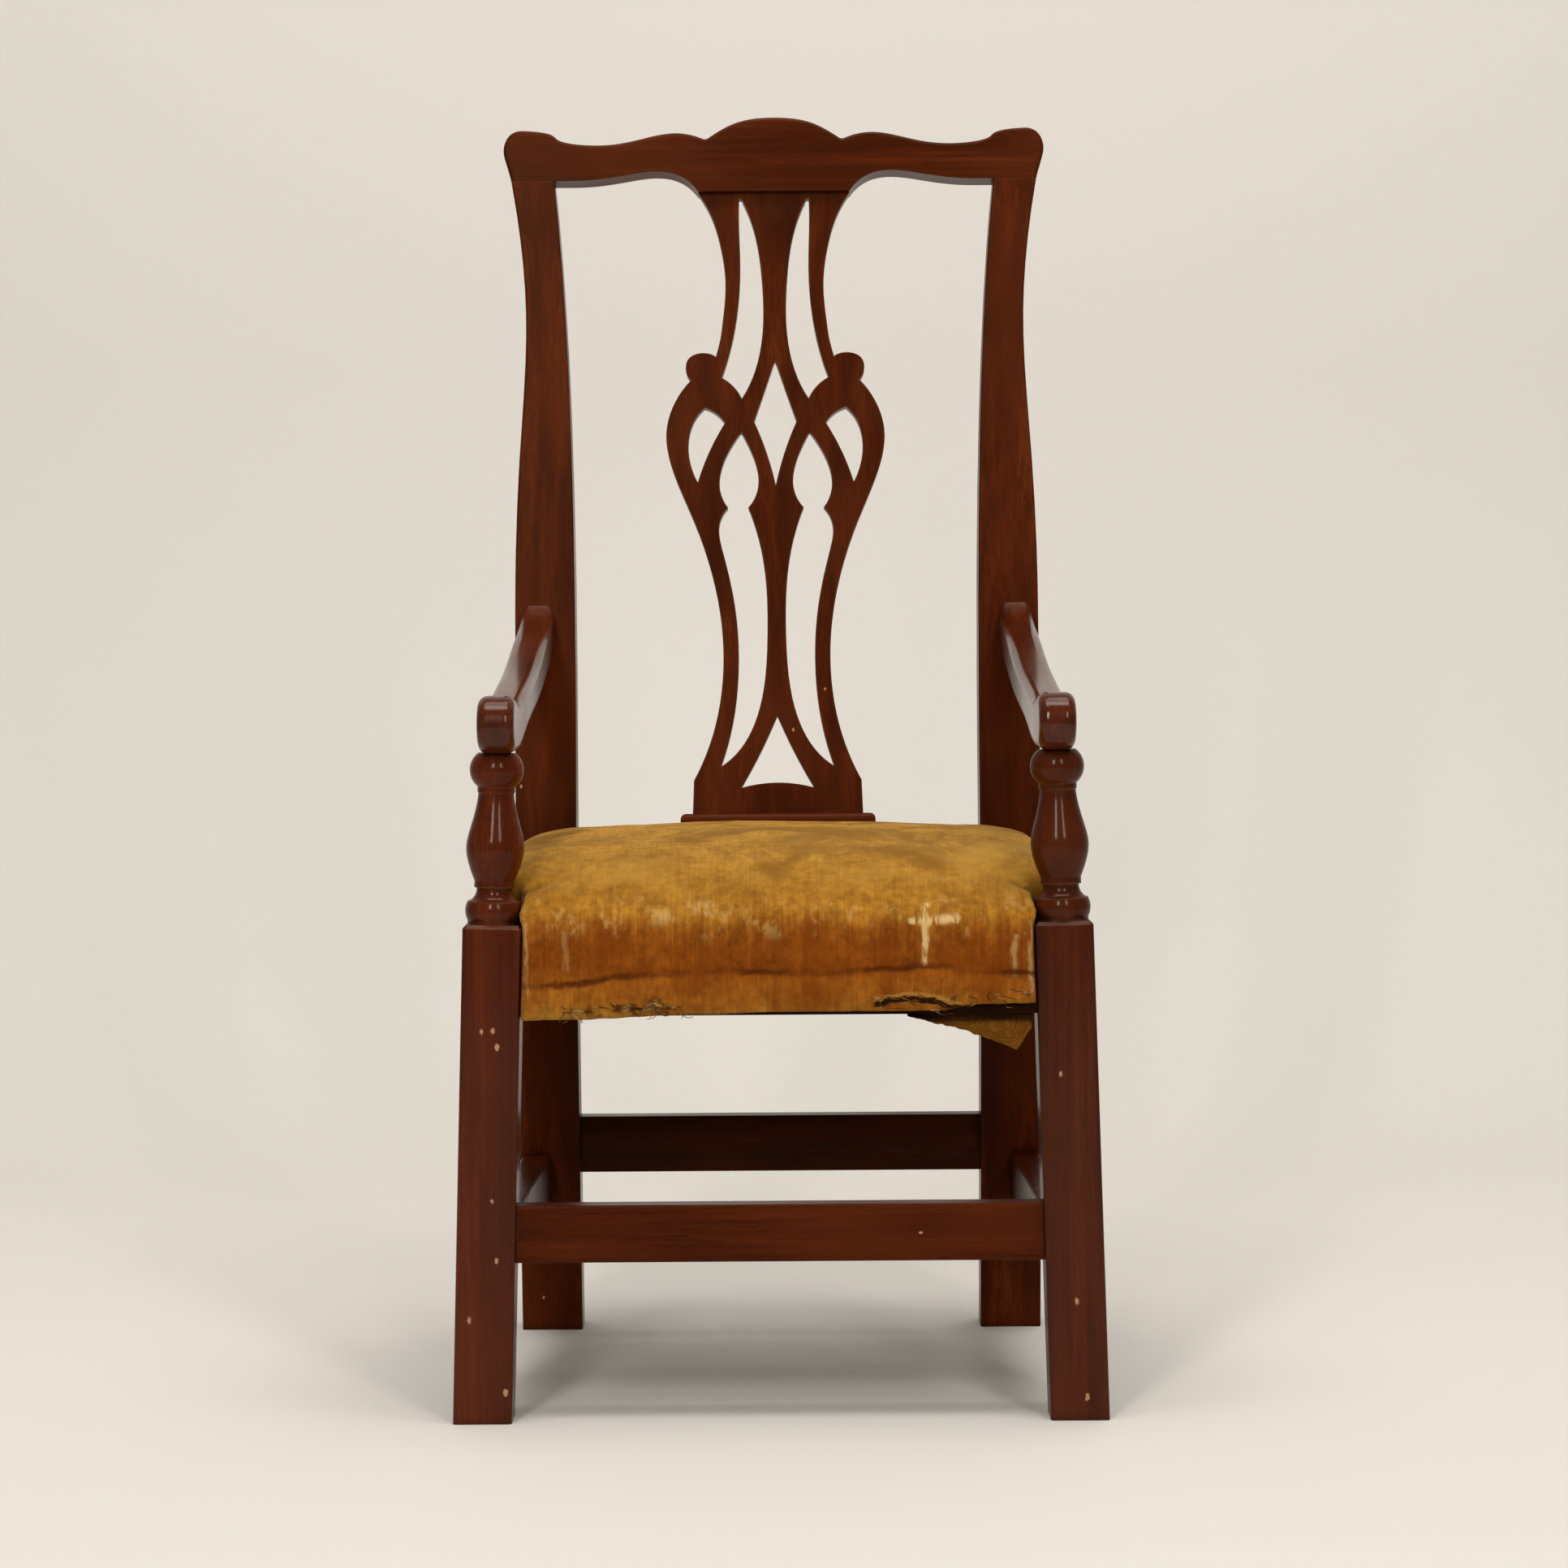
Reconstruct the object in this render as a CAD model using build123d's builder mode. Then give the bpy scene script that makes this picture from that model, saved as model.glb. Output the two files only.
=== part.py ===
# A child's armchair in mahogany: serpentine crest, pierced splat, turned arm posts and a stuffed seat.
# The front faces -Y, the floor is Z = 0, and the middle of the chair's box is at X = Y = 0.
import math
import os

from build123d import *

os.makedirs("parts", exist_ok=True)

# Joinery
joint_gap = 0.2             # clearance round a tenon and at its tip
tenon_length = 14.0
tenon_thickness = 8.0
tenon_shoulder = 5.0        # shoulder above and below a rail's tenon
tenon_root = 3.0            # how far a tenon is carried back into its own rail

# Front legs and the arm posts turned on them
leg_side = 35.0
leg_arris = 2.5
foot_spread = 177.0         # from the middle of the chair to a leg's axis at the floor
leg_splay = 1.68            # degrees that a leg leans in towards its top
leg_square_rise = 8.0       # how far the square of the leg stands above the seat rails
leg_shoulder = 2.2          # bevel round the top of the square
ring_radius = 17.1
ring_height = 11.6
ring_step = 1.8
ring_bulge = 1.5
ring_lip = 1.0
neck_radius = 10.6
neck_height = 8.0
collar_width = 1.4          # how far the collar over the neck stands out from it
collar_height = 4.0
vase_radius = 17.2
ball_radius = 16.0
ball_root = 11.2
ball_height = 20.0
ball_collar = 4.0
post_turned_height = 101.0  # from the square of the leg to the underside of the arm
post_tenon_radius = 7.0
post_tenon_length = 19.0

# Back posts, sawn to shape in side view and in front view
seat_depth = 300.0          # from the front of the legs to the front of the back posts
post_inner = 132.5
post_width = 39.9
post_depth = 36.0
post_foot_kick = 30.0       # how far the rear feet stand behind the seat
post_foot_depth = 32.0
post_top_depth = 22.0
post_top_width = 28.5
post_top_lean = 13.5        # how far a post's inner edge leans out by its top
post_bend_below = 17.0      # the straight stretch that takes the rails ends this far below them
post_bend_above = 22.0
post_bend_radius = 200.0
post_arris = 1.5
post_curve_rise = 133.0     # from the foot of the splat to where the outer edge starts to curve in
post_waist_rise = 323.0
post_waist_cut = 7.6
back_rake = 7.5             # degrees

# Crest rail and splat, laid out on the raked plane of the back, from the foot of the splat
crest_joint = 422.0
crest_rise = 42.3           # from the tops of the posts to the top of the arch
crest_drop = 7.7            # from the tops of the posts down to the splat
crest_thickness = 22.0
crest_edge = 2.5
crest_valley = 4.0          # radius of the valley at each end of the arch
splat_head = 50.4           # half width where the splat meets the crest
splat_belly = 72.3          # half width at its widest
splat_foot = 56.0
splat_thickness = 11.0
splat_setback = 5.5
tongue_thickness = 6.0
tongue_length = 12.0
tongue_inset = 10.0

# Shoe under the splat
shoe_height = 57.0
shoe_margin = 8.0           # how far it reaches past the splat at each side
shoe_front = 5.0            # behind the front of the back posts
shoe_depth = 26.0
shoe_edge = 4.0

# Seat rails
rail_bottom = 242.0
rail_height = 46.0
rail_thickness = 22.0
front_rail_inset = 0.3
side_rail_inset_front = 3.3
side_rail_inset_rear = 3.4
rear_rail_inset = 6.0
block_height = 34.0
block_drop = 4.0
block_reach = 32.0
block_clearance = 1.5

# Stretchers
stretcher_thickness = 18.0
stretcher_arris = 1.5
front_stretcher_top = 129.0
front_stretcher_height = 34.0
front_stretcher_inset = 5.0
side_stretcher_top = 119.0
side_stretcher_height = 32.0
side_stretcher_front_inset = 2.0    # from a front leg's inner face
side_stretcher_rear_inset = 2.4     # from a back post's outer face
rear_stretcher_top = 143.5
rear_stretcher_height = 37.0
rear_stretcher_inset = 7.0

# Arms
arm_width = 22.0
arm_rear_inset = 4.4        # from a back post's outer face
arm_rise = 85.0             # from the top of the turned post to the top of the arm at the back post
arm_end_height = 27.0
arm_overhang = 8.0          # how far the rolled end stands in front of the leg
arm_roll_radius = 17.0
arm_hollow = 4.0            # dip in the top of the arm behind its roll
arm_thickness = 26.0
arm_round = 6.0
arm_seat_play = 0.4

# Seat coverings
strap_width = 40.0
strap_thickness = 1.5
strap_spacing = 88.0
cross_strap_spacing = 70.0
cross_strap_front = 85.0
base_cloth_thickness = 0.8
cloth_gap = 0.3
cover_thickness = 2.5
cover_lift = 1.0            # from the bottom of the rails to the lower edge of the cover
notch_gap = 0.6
seat_crown = 54.0           # from the top of the rails to the highest point of the seat
crown_rise = 7.0
shoulder_width = 30.0
rear_tuck = 2.0
lining_thickness = 1.0
lining_wave = 2.5
lining_drop = 21.5
lining_length = 73.0
lining_leg_gap = 3.4

# Values worked out from the sizes above
splay = math.radians(leg_splay)
rake = math.radians(back_rake)
rail_top = rail_bottom + rail_height
leg_square_height = rail_top + leg_square_rise
post_outer = post_inner + post_width
post_low_bend = rail_bottom - post_bend_below
post_high_bend = rail_top + post_bend_above
splat_foot_height = rail_top + shoe_height
splat_top = crest_joint - crest_drop
crest_top = crest_joint + crest_rise
crest_joint_inner = post_inner + post_top_lean
crest_joint_outer = crest_joint_inner + post_top_width
back_foot_reach = seat_depth + (splat_foot_height - post_high_bend) * math.tan(rake)
crest_edge_rise = (crest_top - crest_edge) * math.sin(rake)
crest_edge_back = (crest_thickness - crest_edge) * math.cos(rake) + crest_edge
rear_reach = back_foot_reach + crest_edge_rise + crest_edge_back
front_y = (arm_overhang - rear_reach) / 2
post_y = front_y + seat_depth
leg_y = front_y + leg_side / 2
leg_rear_y = front_y + leg_side

leg_plane = Plane(
    origin=(foot_spread, leg_y, 0),
    x_dir=(math.cos(splay), 0, math.sin(splay)),
    z_dir=(-math.sin(splay), 0, math.cos(splay)),
)
leg_axis = Axis(leg_plane.origin, leg_plane.z_dir)
leg_inner_plane = Plane(
    origin=leg_plane.from_local_coords((-leg_side / 2, 0, 0)),
    x_dir=(0, 1, 0),
    z_dir=leg_plane.x_dir,
)
turning_plane = Plane(
    origin=leg_plane.from_local_coords((0, 0, leg_square_height)),
    x_dir=leg_plane.x_dir,
    z_dir=-leg_plane.y_dir,
)
post_seat_plane = leg_plane.offset(leg_square_height + post_turned_height)

back_plane = Plane(
    origin=(0, front_y + back_foot_reach, splat_foot_height),
    x_dir=(1, 0, 0),
    z_dir=(0, -math.cos(rake), math.sin(rake)),
)
up_the_back = back_plane.y_dir
crest_joint_plane = Plane(
    origin=back_plane.from_local_coords((0, crest_joint, 0)), x_dir=(1, 0, 0), z_dir=up_the_back
)
splat_foot_plane = Plane(origin=back_plane.origin, x_dir=(1, 0, 0), z_dir=up_the_back)
splat_top_plane = Plane(
    origin=back_plane.from_local_coords((0, splat_top, 0)), x_dir=(1, 0, 0), z_dir=up_the_back
)
rear_leg_slope = math.atan2(post_foot_kick, post_low_bend)
rear_leg_plane = Plane(
    origin=(0, post_y + post_foot_kick, 0),
    x_dir=(1, 0, 0),
    z_dir=(0, math.cos(rear_leg_slope), math.sin(rear_leg_slope)),
)


def leg_inner_x(height):
    """Inner face of the right front leg at a height above the floor."""
    return foot_spread - height * math.tan(splay) - leg_side / 2 / math.cos(splay)


def leg_outer_x(height):
    """Outer face of the right front leg at a height above the floor."""
    return leg_inner_x(height) + leg_side / math.cos(splay)


def between(start, end, share):
    """The value a share of the way from start to end."""
    return start + (end - start) * share


def rear_leg_front_y(height):
    """Front face of a back post below the seat."""
    return post_y + post_foot_kick * (1 - height / post_low_bend)


# Outer face of the side rails, straight from the front legs to the back posts
rail_mid = rail_bottom + rail_height / 2
side_rail_front_x = leg_outer_x(rail_mid) - side_rail_inset_front
side_rail_rear_x = post_outer - side_rail_inset_rear


def side_rail_x(depth):
    """Outer face of the right side rail at a depth behind the front of the legs."""
    share = (depth - leg_side) / (seat_depth - leg_side)
    return between(side_rail_front_x, side_rail_rear_x, share)


# Heights and places of the mortises, shared by each rail and the posts it enters
rail_tenon_height = rail_height - 2 * tenon_shoulder
front_rail_y = front_y + front_rail_inset + rail_thickness / 2
rear_rail_y = post_y + rear_rail_inset + rail_thickness / 2
side_rail_front_mid = side_rail_front_x - rail_thickness / 2
side_rail_rear_mid = side_rail_rear_x - rail_thickness / 2
front_stretcher_y = front_y + front_stretcher_inset + stretcher_thickness / 2
front_stretcher_mid = front_stretcher_top - front_stretcher_height / 2
side_stretcher_mid = side_stretcher_top - side_stretcher_height / 2
rear_stretcher_mid = rear_stretcher_top - rear_stretcher_height / 2
rear_stretcher_y = rear_leg_front_y(rear_stretcher_mid) + rear_stretcher_inset + stretcher_thickness / 2
front_stretcher_tenon = front_stretcher_height - 2 * tenon_shoulder
side_stretcher_tenon = side_stretcher_height - 2 * tenon_shoulder
rear_stretcher_tenon = rear_stretcher_height - 2 * tenon_shoulder
side_stretcher_front_x = (
    leg_inner_x(side_stretcher_mid) + side_stretcher_front_inset + stretcher_thickness / 2
)
side_stretcher_rear_x = post_outer - side_stretcher_rear_inset - stretcher_thickness / 2
arm_seat_z = post_seat_plane.origin.Z
arm_top_at_post = arm_seat_z + arm_rise
arm_under_at_post = arm_top_at_post - arm_end_height
arm_rear_x = post_outer - arm_rear_inset - arm_width / 2
arm_tenon_height = arm_end_height - 2 * tenon_shoulder
arm_tenon_z = (arm_top_at_post + arm_under_at_post) / 2
arm_shoulder_y = post_y + (arm_tenon_z - post_high_bend) * math.tan(rake)
mortise = tenon_thickness + 2 * joint_gap
mortise_depth = 2 * (tenon_length + joint_gap)

# Front leg: square below, turned above, with mortises for the rail and stretchers
with BuildPart() as front_leg:
    with BuildSketch(leg_plane.offset(-leg_side)):
        RectangleRounded(leg_side, leg_side, leg_arris)
    extrude(amount=leg_side + leg_square_height)
    chamfer(front_leg.faces().sort_by(leg_axis)[-1].edges(), length=leg_shoulder)
    split(bisect_by=Plane.XY, keep=Keep.TOP)
    ring_top = ring_step + ring_height
    ring_root = ring_radius - ring_bulge
    cove_top = ring_top + neck_height
    collar_radius = neck_radius + collar_width
    collar_top = cove_top + collar_height
    ball_foot = post_turned_height - ball_height
    upper_neck = ball_foot - ball_collar
    vase_middle = between(ring_top, upper_neck, 0.49)
    with BuildSketch(turning_plane):
        with BuildLine():
            Polyline((0, -ring_step), (ring_root, -ring_step), (ring_root, ring_step))
            ThreePointArc(
                (ring_root, ring_step),
                (ring_radius, ring_step + ring_height / 2),
                (ring_root, ring_top),
            )
            Line((ring_root, ring_top), (ring_root - ring_lip, ring_top))
            ThreePointArc(
                (ring_root - ring_lip, ring_top),
                (between(neck_radius, ring_root - ring_lip, 0.22), between(ring_top, cove_top, 0.42)),
                (neck_radius, cove_top),
            )
            Polyline((neck_radius, cove_top), (collar_radius, cove_top), (collar_radius, collar_top))
            Spline(
                (collar_radius, collar_top),
                (between(neck_radius, vase_radius, 0.73), between(collar_top, vase_middle, 0.48)),
                (vase_radius, vase_middle),
                (between(neck_radius, vase_radius, 0.59), between(vase_middle, upper_neck, 0.42)),
                (between(neck_radius, vase_radius, 0.15), between(vase_middle, upper_neck, 0.78)),
                (neck_radius, upper_neck),
            )
            Polyline(
                (neck_radius, upper_neck),
                (ball_root, between(upper_neck, ball_foot, 0.25)),
                (ball_root, ball_foot),
            )
            ThreePointArc(
                (ball_root, ball_foot),
                (ball_radius, between(ball_foot, post_turned_height, 0.52)),
                (ball_root, post_turned_height),
            )
            Polyline(
                (ball_root, post_turned_height),
                (post_tenon_radius, post_turned_height),
                (post_tenon_radius, post_turned_height + post_tenon_length),
                (0, post_turned_height + post_tenon_length),
                (0, -ring_step),
            )
        make_face()
    revolve(axis=leg_axis)
    with Locations((leg_inner_x(rail_mid), front_rail_y, rail_mid)):
        Box(mortise_depth, mortise, rail_tenon_height + 2 * joint_gap, mode=Mode.SUBTRACT)
    with Locations((side_rail_front_mid, leg_rear_y, rail_mid)):
        Box(mortise, mortise_depth, rail_tenon_height + 2 * joint_gap, mode=Mode.SUBTRACT)
    with Locations((leg_inner_x(front_stretcher_mid), front_stretcher_y, front_stretcher_mid)):
        Box(mortise_depth, mortise, front_stretcher_tenon + 2 * joint_gap, mode=Mode.SUBTRACT)
    with Locations((side_stretcher_front_x, leg_rear_y, side_stretcher_mid)):
        Box(mortise, mortise_depth, side_stretcher_tenon + 2 * joint_gap, mode=Mode.SUBTRACT)

# Back post: rear leg and stile in one piece, drawn a little long and cut at the crest
post_over = 30.0
post_over_lean = 4.0
post_over_flare = 7.0
post_top_y = post_y + (splat_foot_height + crest_joint - post_high_bend + post_over) * math.tan(rake)
post_top_z = splat_foot_height + crest_joint + post_over
with BuildPart() as back_post:
    with BuildSketch(Plane.YZ.offset(post_inner - post_over)):
        with BuildLine():
            front_edge = FilletPolyline(
                (post_y + post_foot_kick, 0),
                (post_y, post_low_bend),
                (post_y, post_high_bend),
                (post_top_y, post_top_z),
                radius=post_bend_radius,
            )
            back_edge = FilletPolyline(
                (post_y + post_foot_kick + post_foot_depth, 0),
                (post_y + post_depth, post_low_bend),
                (post_y + post_depth, post_high_bend),
                (post_top_y + post_top_depth / math.cos(rake), post_top_z),
                radius=post_bend_radius,
            )
            Line(front_edge @ 0, back_edge @ 0)
            Line(front_edge @ 1, back_edge @ 1)
        make_face()
    extrude(amount=post_outer - post_inner + 3 * post_over)
    crest_joint_z = crest_joint_plane.origin.Z
    post_curve_foot = splat_foot_height + post_curve_rise
    post_waist_height = splat_foot_height + post_waist_rise
    with BuildSketch(Plane.XZ):
        with BuildLine():
            Line((post_inner, 0), (post_outer, 0))
            Line((post_outer, 0), (post_outer, post_curve_foot))
            outer_edge = Spline(
                (post_outer, post_curve_foot),
                (post_outer - 0.42 * post_waist_cut, between(post_curve_foot, post_waist_height, 0.54)),
                (post_outer - post_waist_cut, post_waist_height),
                (crest_joint_outer, crest_joint_z),
                (crest_joint_outer + post_over_flare, post_top_z),
                tangents=((0, 1), (0.25, 1)),
            )
            Line((post_inner, 0), (post_inner, splat_foot_height))
            inner_edge = Spline(
                (post_inner, splat_foot_height),
                (post_inner + 0.33 * post_top_lean, between(splat_foot_height, crest_joint_z, 0.7)),
                (crest_joint_inner, crest_joint_z),
                (crest_joint_inner + post_over_lean, post_top_z),
                tangents=((0, 1), (0.13, 1)),
            )
            Line(outer_edge @ 1, inner_edge @ 1)
        make_face()
    extrude(amount=rear_reach, both=True, mode=Mode.INTERSECT)
    split(bisect_by=crest_joint_plane, keep=Keep.BOTTOM)
    fillet(back_post.edges().filter_by(lambda edge: edge.length > 1.5 * post_depth), radius=post_arris)
    crest_tenon_x = (crest_joint_inner + crest_joint_outer) / 2
    crest_tenon_width = crest_joint_outer - crest_joint_inner - 2 * tenon_shoulder
    with BuildSketch(crest_joint_plane):
        with Locations((crest_tenon_x, post_top_depth / 2)):
            Rectangle(crest_tenon_width, tenon_thickness)
    extrude(amount=tenon_length)
    with Locations((post_inner, rear_rail_y, rail_mid)):
        Box(mortise_depth, mortise, rail_tenon_height + 2 * joint_gap, mode=Mode.SUBTRACT)
    with Locations((side_rail_rear_mid, post_y, rail_mid)):
        Box(mortise, mortise_depth, rail_tenon_height + 2 * joint_gap, mode=Mode.SUBTRACT)
    with Locations((post_inner, rear_stretcher_y, rear_stretcher_mid)):
        Box(mortise_depth, mortise, rear_stretcher_tenon + 2 * joint_gap, mode=Mode.SUBTRACT)
    with Locations((side_stretcher_rear_x, rear_leg_front_y(side_stretcher_mid), side_stretcher_mid)):
        Box(mortise, mortise_depth, side_stretcher_tenon + 2 * joint_gap, mode=Mode.SUBTRACT)
    with Locations((arm_rear_x, arm_shoulder_y, arm_tenon_z)):
        Box(mortise, mortise_depth, arm_tenon_height + 2 * joint_gap, mode=Mode.SUBTRACT)


def on_crest(across, up):
    """A point of the crest's drawing, in shares of its half width and of its height over the posts."""
    return (across * crest_joint_outer, crest_joint + up * crest_rise)


def on_splat(across, up):
    """A point of the splat's drawing, in shares of its half width at the belly and of its height."""
    return (across * splat_belly, up * splat_top)


# Crest rail: arched middle, a hump and a dip each side, and raised ears over the posts
with BuildPart() as crest_rail:
    with BuildSketch(back_plane) as crest_outline:
        with BuildLine():
            arch = Spline(
                (0, crest_top),
                on_crest(0.152, 0.905),
                on_crest(0.260, 0.648),
                tangents=((1, 0), (0.8, -0.55)),
            )
            swell = Spline(
                arch @ 1,
                on_crest(0.375, 0.761),
                on_crest(0.504, 0.671),
                on_crest(0.656, 0.574),
                on_crest(0.821, 0.664),
                on_crest(0.954, 0.813),
                tangents=((0.9, 0.45), (1, 0.05)),
            )
            ear = Spline(
                swell @ 1,
                on_crest(1.027, 0.579),
                (crest_joint_outer, crest_joint),
                tangents=((1, 0.05), (-0.22, -1)),
            )
            shoulder = Line(ear @ 1, (crest_joint_inner, crest_joint))
            underside = Spline(
                shoulder @ 1,
                on_crest(0.699, 0.009),
                on_crest(0.562, 0.085),
                on_crest(0.441, 0.142),
                on_crest(0.364, 0.080),
                (splat_head, splat_top),
                tangents=((-1, 0), (-0.55, -0.83)),
            )
            Line(underside @ 1, (0, splat_top))
            mirror(about=Plane.YZ)
        make_face()
        for valley in (arch @ 1, (arch @ 1).rotate(Axis.Y, 180)):
            fillet(crest_outline.vertices().sort_by_distance(valley)[0], radius=crest_valley)
    extrude(amount=-crest_thickness)
    broad_faces = crest_rail.faces().sort_by(SortBy.AREA)[-2:]
    rounded_above = crest_joint + 0.3 * crest_rise
    top_edges = broad_faces.edges().filter_by(
        lambda edge: back_plane.to_local_coords(edge @ 0.5).Y > rounded_above
    )
    fillet(top_edges, radius=crest_edge)
    for side in (-1, 1):
        with BuildSketch(crest_joint_plane):
            with Locations((side * crest_tenon_x, post_top_depth / 2)):
                Rectangle(crest_tenon_width + 2 * joint_gap, tenon_thickness + 2 * joint_gap)
        extrude(amount=tenon_length + joint_gap, mode=Mode.SUBTRACT)
    with BuildSketch(splat_top_plane):
        with Locations((0, splat_setback + splat_thickness / 2)):
            Rectangle(2 * (splat_head - tongue_inset + joint_gap), tongue_thickness + 2 * joint_gap)
    extrude(amount=tongue_length + joint_gap, mode=Mode.SUBTRACT)

# Splat: a vase outline with scrolled ears, pierced by slots that read as interlaced straps
with BuildPart() as splat:
    with BuildSketch(back_plane.offset(-splat_setback)):
        with BuildLine():
            throat = Spline(
                (splat_head, splat_top),
                on_splat(0.591, 0.968),
                on_splat(0.495, 0.915),
                on_splat(0.451, 0.840),
                on_splat(0.483, 0.783),
                on_splat(0.542, 0.734),
                tangents=((-0.55, -0.83), (0.3, -1)),
            )
            ear_scroll = Spline(
                throat @ 1,
                on_splat(0.671, 0.740),
                on_splat(0.797, 0.730),
                on_splat(0.819, 0.716),
                on_splat(0.772, 0.696),
            )
            belly_edge = Spline(
                ear_scroll @ 1,
                on_splat(0.899, 0.667),
                on_splat(1.000, 0.611),
                on_splat(0.934, 0.547),
                on_splat(0.751, 0.469),
                on_splat(0.598, 0.390),
                on_splat(0.488, 0.249),
                on_splat(0.544, 0.156),
                on_splat(0.628, 0.105),
                on_splat(0.763, 0.053),
            )
            Polyline(belly_edge @ 1, (splat_foot, 0), (0, 0))
            Line((0, splat_top), throat @ 0)
            mirror(about=Plane.YZ)
        make_face()
        # Horn-shaped slots under the crest
        with BuildLine():
            horn_outer = Spline(
                on_splat(0.321, 0.991),
                on_splat(0.321, 0.937),
                on_splat(0.313, 0.883),
                on_splat(0.361, 0.783),
                on_splat(0.490, 0.700),
            )
            horn_scroll = ThreePointArc(horn_outer @ 1, on_splat(0.368, 0.683), on_splat(0.306, 0.666))
            horn_inner = Spline(
                horn_scroll @ 1,
                on_splat(0.194, 0.705),
                on_splat(0.111, 0.775),
                on_splat(0.113, 0.850),
                on_splat(0.194, 0.944),
                on_splat(0.288, 0.986),
            )
            ThreePointArc(horn_inner @ 1, on_splat(0.307, 0.991), horn_outer @ 0)
        horn = make_face(mode=Mode.PRIVATE)
        add(horn, mode=Mode.SUBTRACT)
        mirror(horn, about=Plane.YZ, mode=Mode.SUBTRACT)
        # Crescents inside the belly
        with BuildLine():
            crescent_top = ThreePointArc(
                on_splat(0.461, 0.627),
                on_splat(0.545, 0.643),
                on_splat(0.647, 0.652),
            )
            crescent_outer = Spline(
                crescent_top @ 1,
                on_splat(0.758, 0.626),
                on_splat(0.799, 0.589),
                on_splat(0.714, 0.531),
            )
            Spline(crescent_outer @ 1, on_splat(0.631, 0.571), crescent_top @ 0)
        crescent = make_face(mode=Mode.PRIVATE)
        add(crescent, mode=Mode.SUBTRACT)
        mirror(crescent, about=Plane.YZ, mode=Mode.SUBTRACT)
        # Leaf over a long slot, open at the neck between them
        with BuildLine():
            leaf_outer = Spline(
                on_splat(0.313, 0.612),
                on_splat(0.452, 0.573),
                on_splat(0.515, 0.531),
                on_splat(0.438, 0.490),
            )
            slot_outer = Spline(
                leaf_outer @ 1,
                on_splat(0.520, 0.460),
                on_splat(0.484, 0.417),
                on_splat(0.373, 0.323),
                on_splat(0.349, 0.234),
                on_splat(0.404, 0.145),
                on_splat(0.516, 0.075),
            )
            slot_inner = Spline(
                slot_outer @ 1,
                on_splat(0.329, 0.105),
                on_splat(0.133, 0.189),
                on_splat(0.086, 0.280),
                on_splat(0.131, 0.417),
                on_splat(0.253, 0.490),
            )
            Spline(slot_inner @ 1, on_splat(0.158, 0.531), on_splat(0.206, 0.573), leaf_outer @ 0)
        slot = make_face(mode=Mode.PRIVATE)
        add(slot, mode=Mode.SUBTRACT)
        mirror(slot, about=Plane.YZ, mode=Mode.SUBTRACT)
        # Diamond on the centre line
        with BuildLine():
            diamond_upper = Spline(on_splat(0, 0.728), on_splat(0.097, 0.678), on_splat(0.195, 0.629))
            Spline(diamond_upper @ 1, on_splat(0.075, 0.575), on_splat(0, 0.526))
            mirror(about=Plane.YZ)
        make_face(mode=Mode.SUBTRACT)
        # Arched triangle over the foot
        with BuildLine():
            triangle_side = Spline(on_splat(0, 0.156), on_splat(0.133, 0.105), on_splat(0.332, 0.041))
            mirror(about=Plane.YZ)
            ThreePointArc(triangle_side @ 1, on_splat(0, 0.049), on_splat(-0.332, 0.041))
        make_face(mode=Mode.SUBTRACT)
    extrude(amount=-splat_thickness)
    for plane, half_width, reach in (
        (splat_top_plane, splat_head - tongue_inset, tongue_length),
        (splat_foot_plane, splat_foot - tongue_inset, -tongue_length),
    ):
        with BuildSketch(plane):
            with Locations((0, splat_setback + splat_thickness / 2)):
                Rectangle(2 * half_width, tongue_thickness)
        extrude(amount=reach)

# Shoe: stands on the rear rail, rebated for the webbing, and takes the foot of the splat
with BuildPart() as splat_shoe:
    with BuildSketch(Plane.XY.offset(rail_top)):
        with Locations((0, post_y + shoe_front + shoe_depth / 2)):
            Rectangle(2 * (splat_foot + shoe_margin), shoe_depth)
    extrude(amount=2 * shoe_height)
    split(bisect_by=splat_foot_plane, keep=Keep.BOTTOM)
    fillet(splat_shoe.faces().sort_by(Axis.Z)[-1].edges(), radius=shoe_edge)
    with BuildSketch(splat_foot_plane):
        with Locations((0, splat_setback + splat_thickness / 2)):
            Rectangle(2 * (splat_foot - tongue_inset + joint_gap), tongue_thickness + 2 * joint_gap)
    extrude(amount=-tongue_length - joint_gap, mode=Mode.SUBTRACT)
    with Locations((0, post_y, rail_top)):
        Box(
            strap_width + 2 * block_clearance,
            4 * shoe_depth,
            2 * (strap_thickness + joint_gap),
            mode=Mode.SUBTRACT,
        )

# Front and rear seat rails and stretchers run across the chair: each is half a rail, mirrored
with BuildPart() as seat_rail_front:
    with Locations((0, front_rail_y, rail_mid)):
        Box(foot_spread, rail_thickness, rail_height, align=(Align.MIN, Align.CENTER, Align.CENTER))
    split(bisect_by=leg_inner_plane, keep=Keep.BOTTOM)
    with Locations((leg_inner_x(rail_mid) + tenon_length, front_rail_y, rail_mid)):
        Box(
            tenon_length + tenon_root,
            tenon_thickness,
            rail_tenon_height,
            align=(Align.MAX, Align.CENTER, Align.CENTER),
        )
    mirror(about=Plane.YZ)

with BuildPart() as stretcher_front:
    with Locations((0, front_stretcher_y, front_stretcher_mid)):
        Box(
            foot_spread,
            stretcher_thickness,
            front_stretcher_height,
            align=(Align.MIN, Align.CENTER, Align.CENTER),
        )
    fillet(stretcher_front.edges().filter_by(Axis.X), radius=stretcher_arris)
    split(bisect_by=leg_inner_plane, keep=Keep.BOTTOM)
    with Locations((leg_inner_x(front_stretcher_mid) + tenon_length, front_stretcher_y, front_stretcher_mid)):
        Box(
            tenon_length + tenon_root,
            tenon_thickness,
            front_stretcher_tenon,
            align=(Align.MAX, Align.CENTER, Align.CENTER),
        )
    mirror(about=Plane.YZ)

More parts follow.
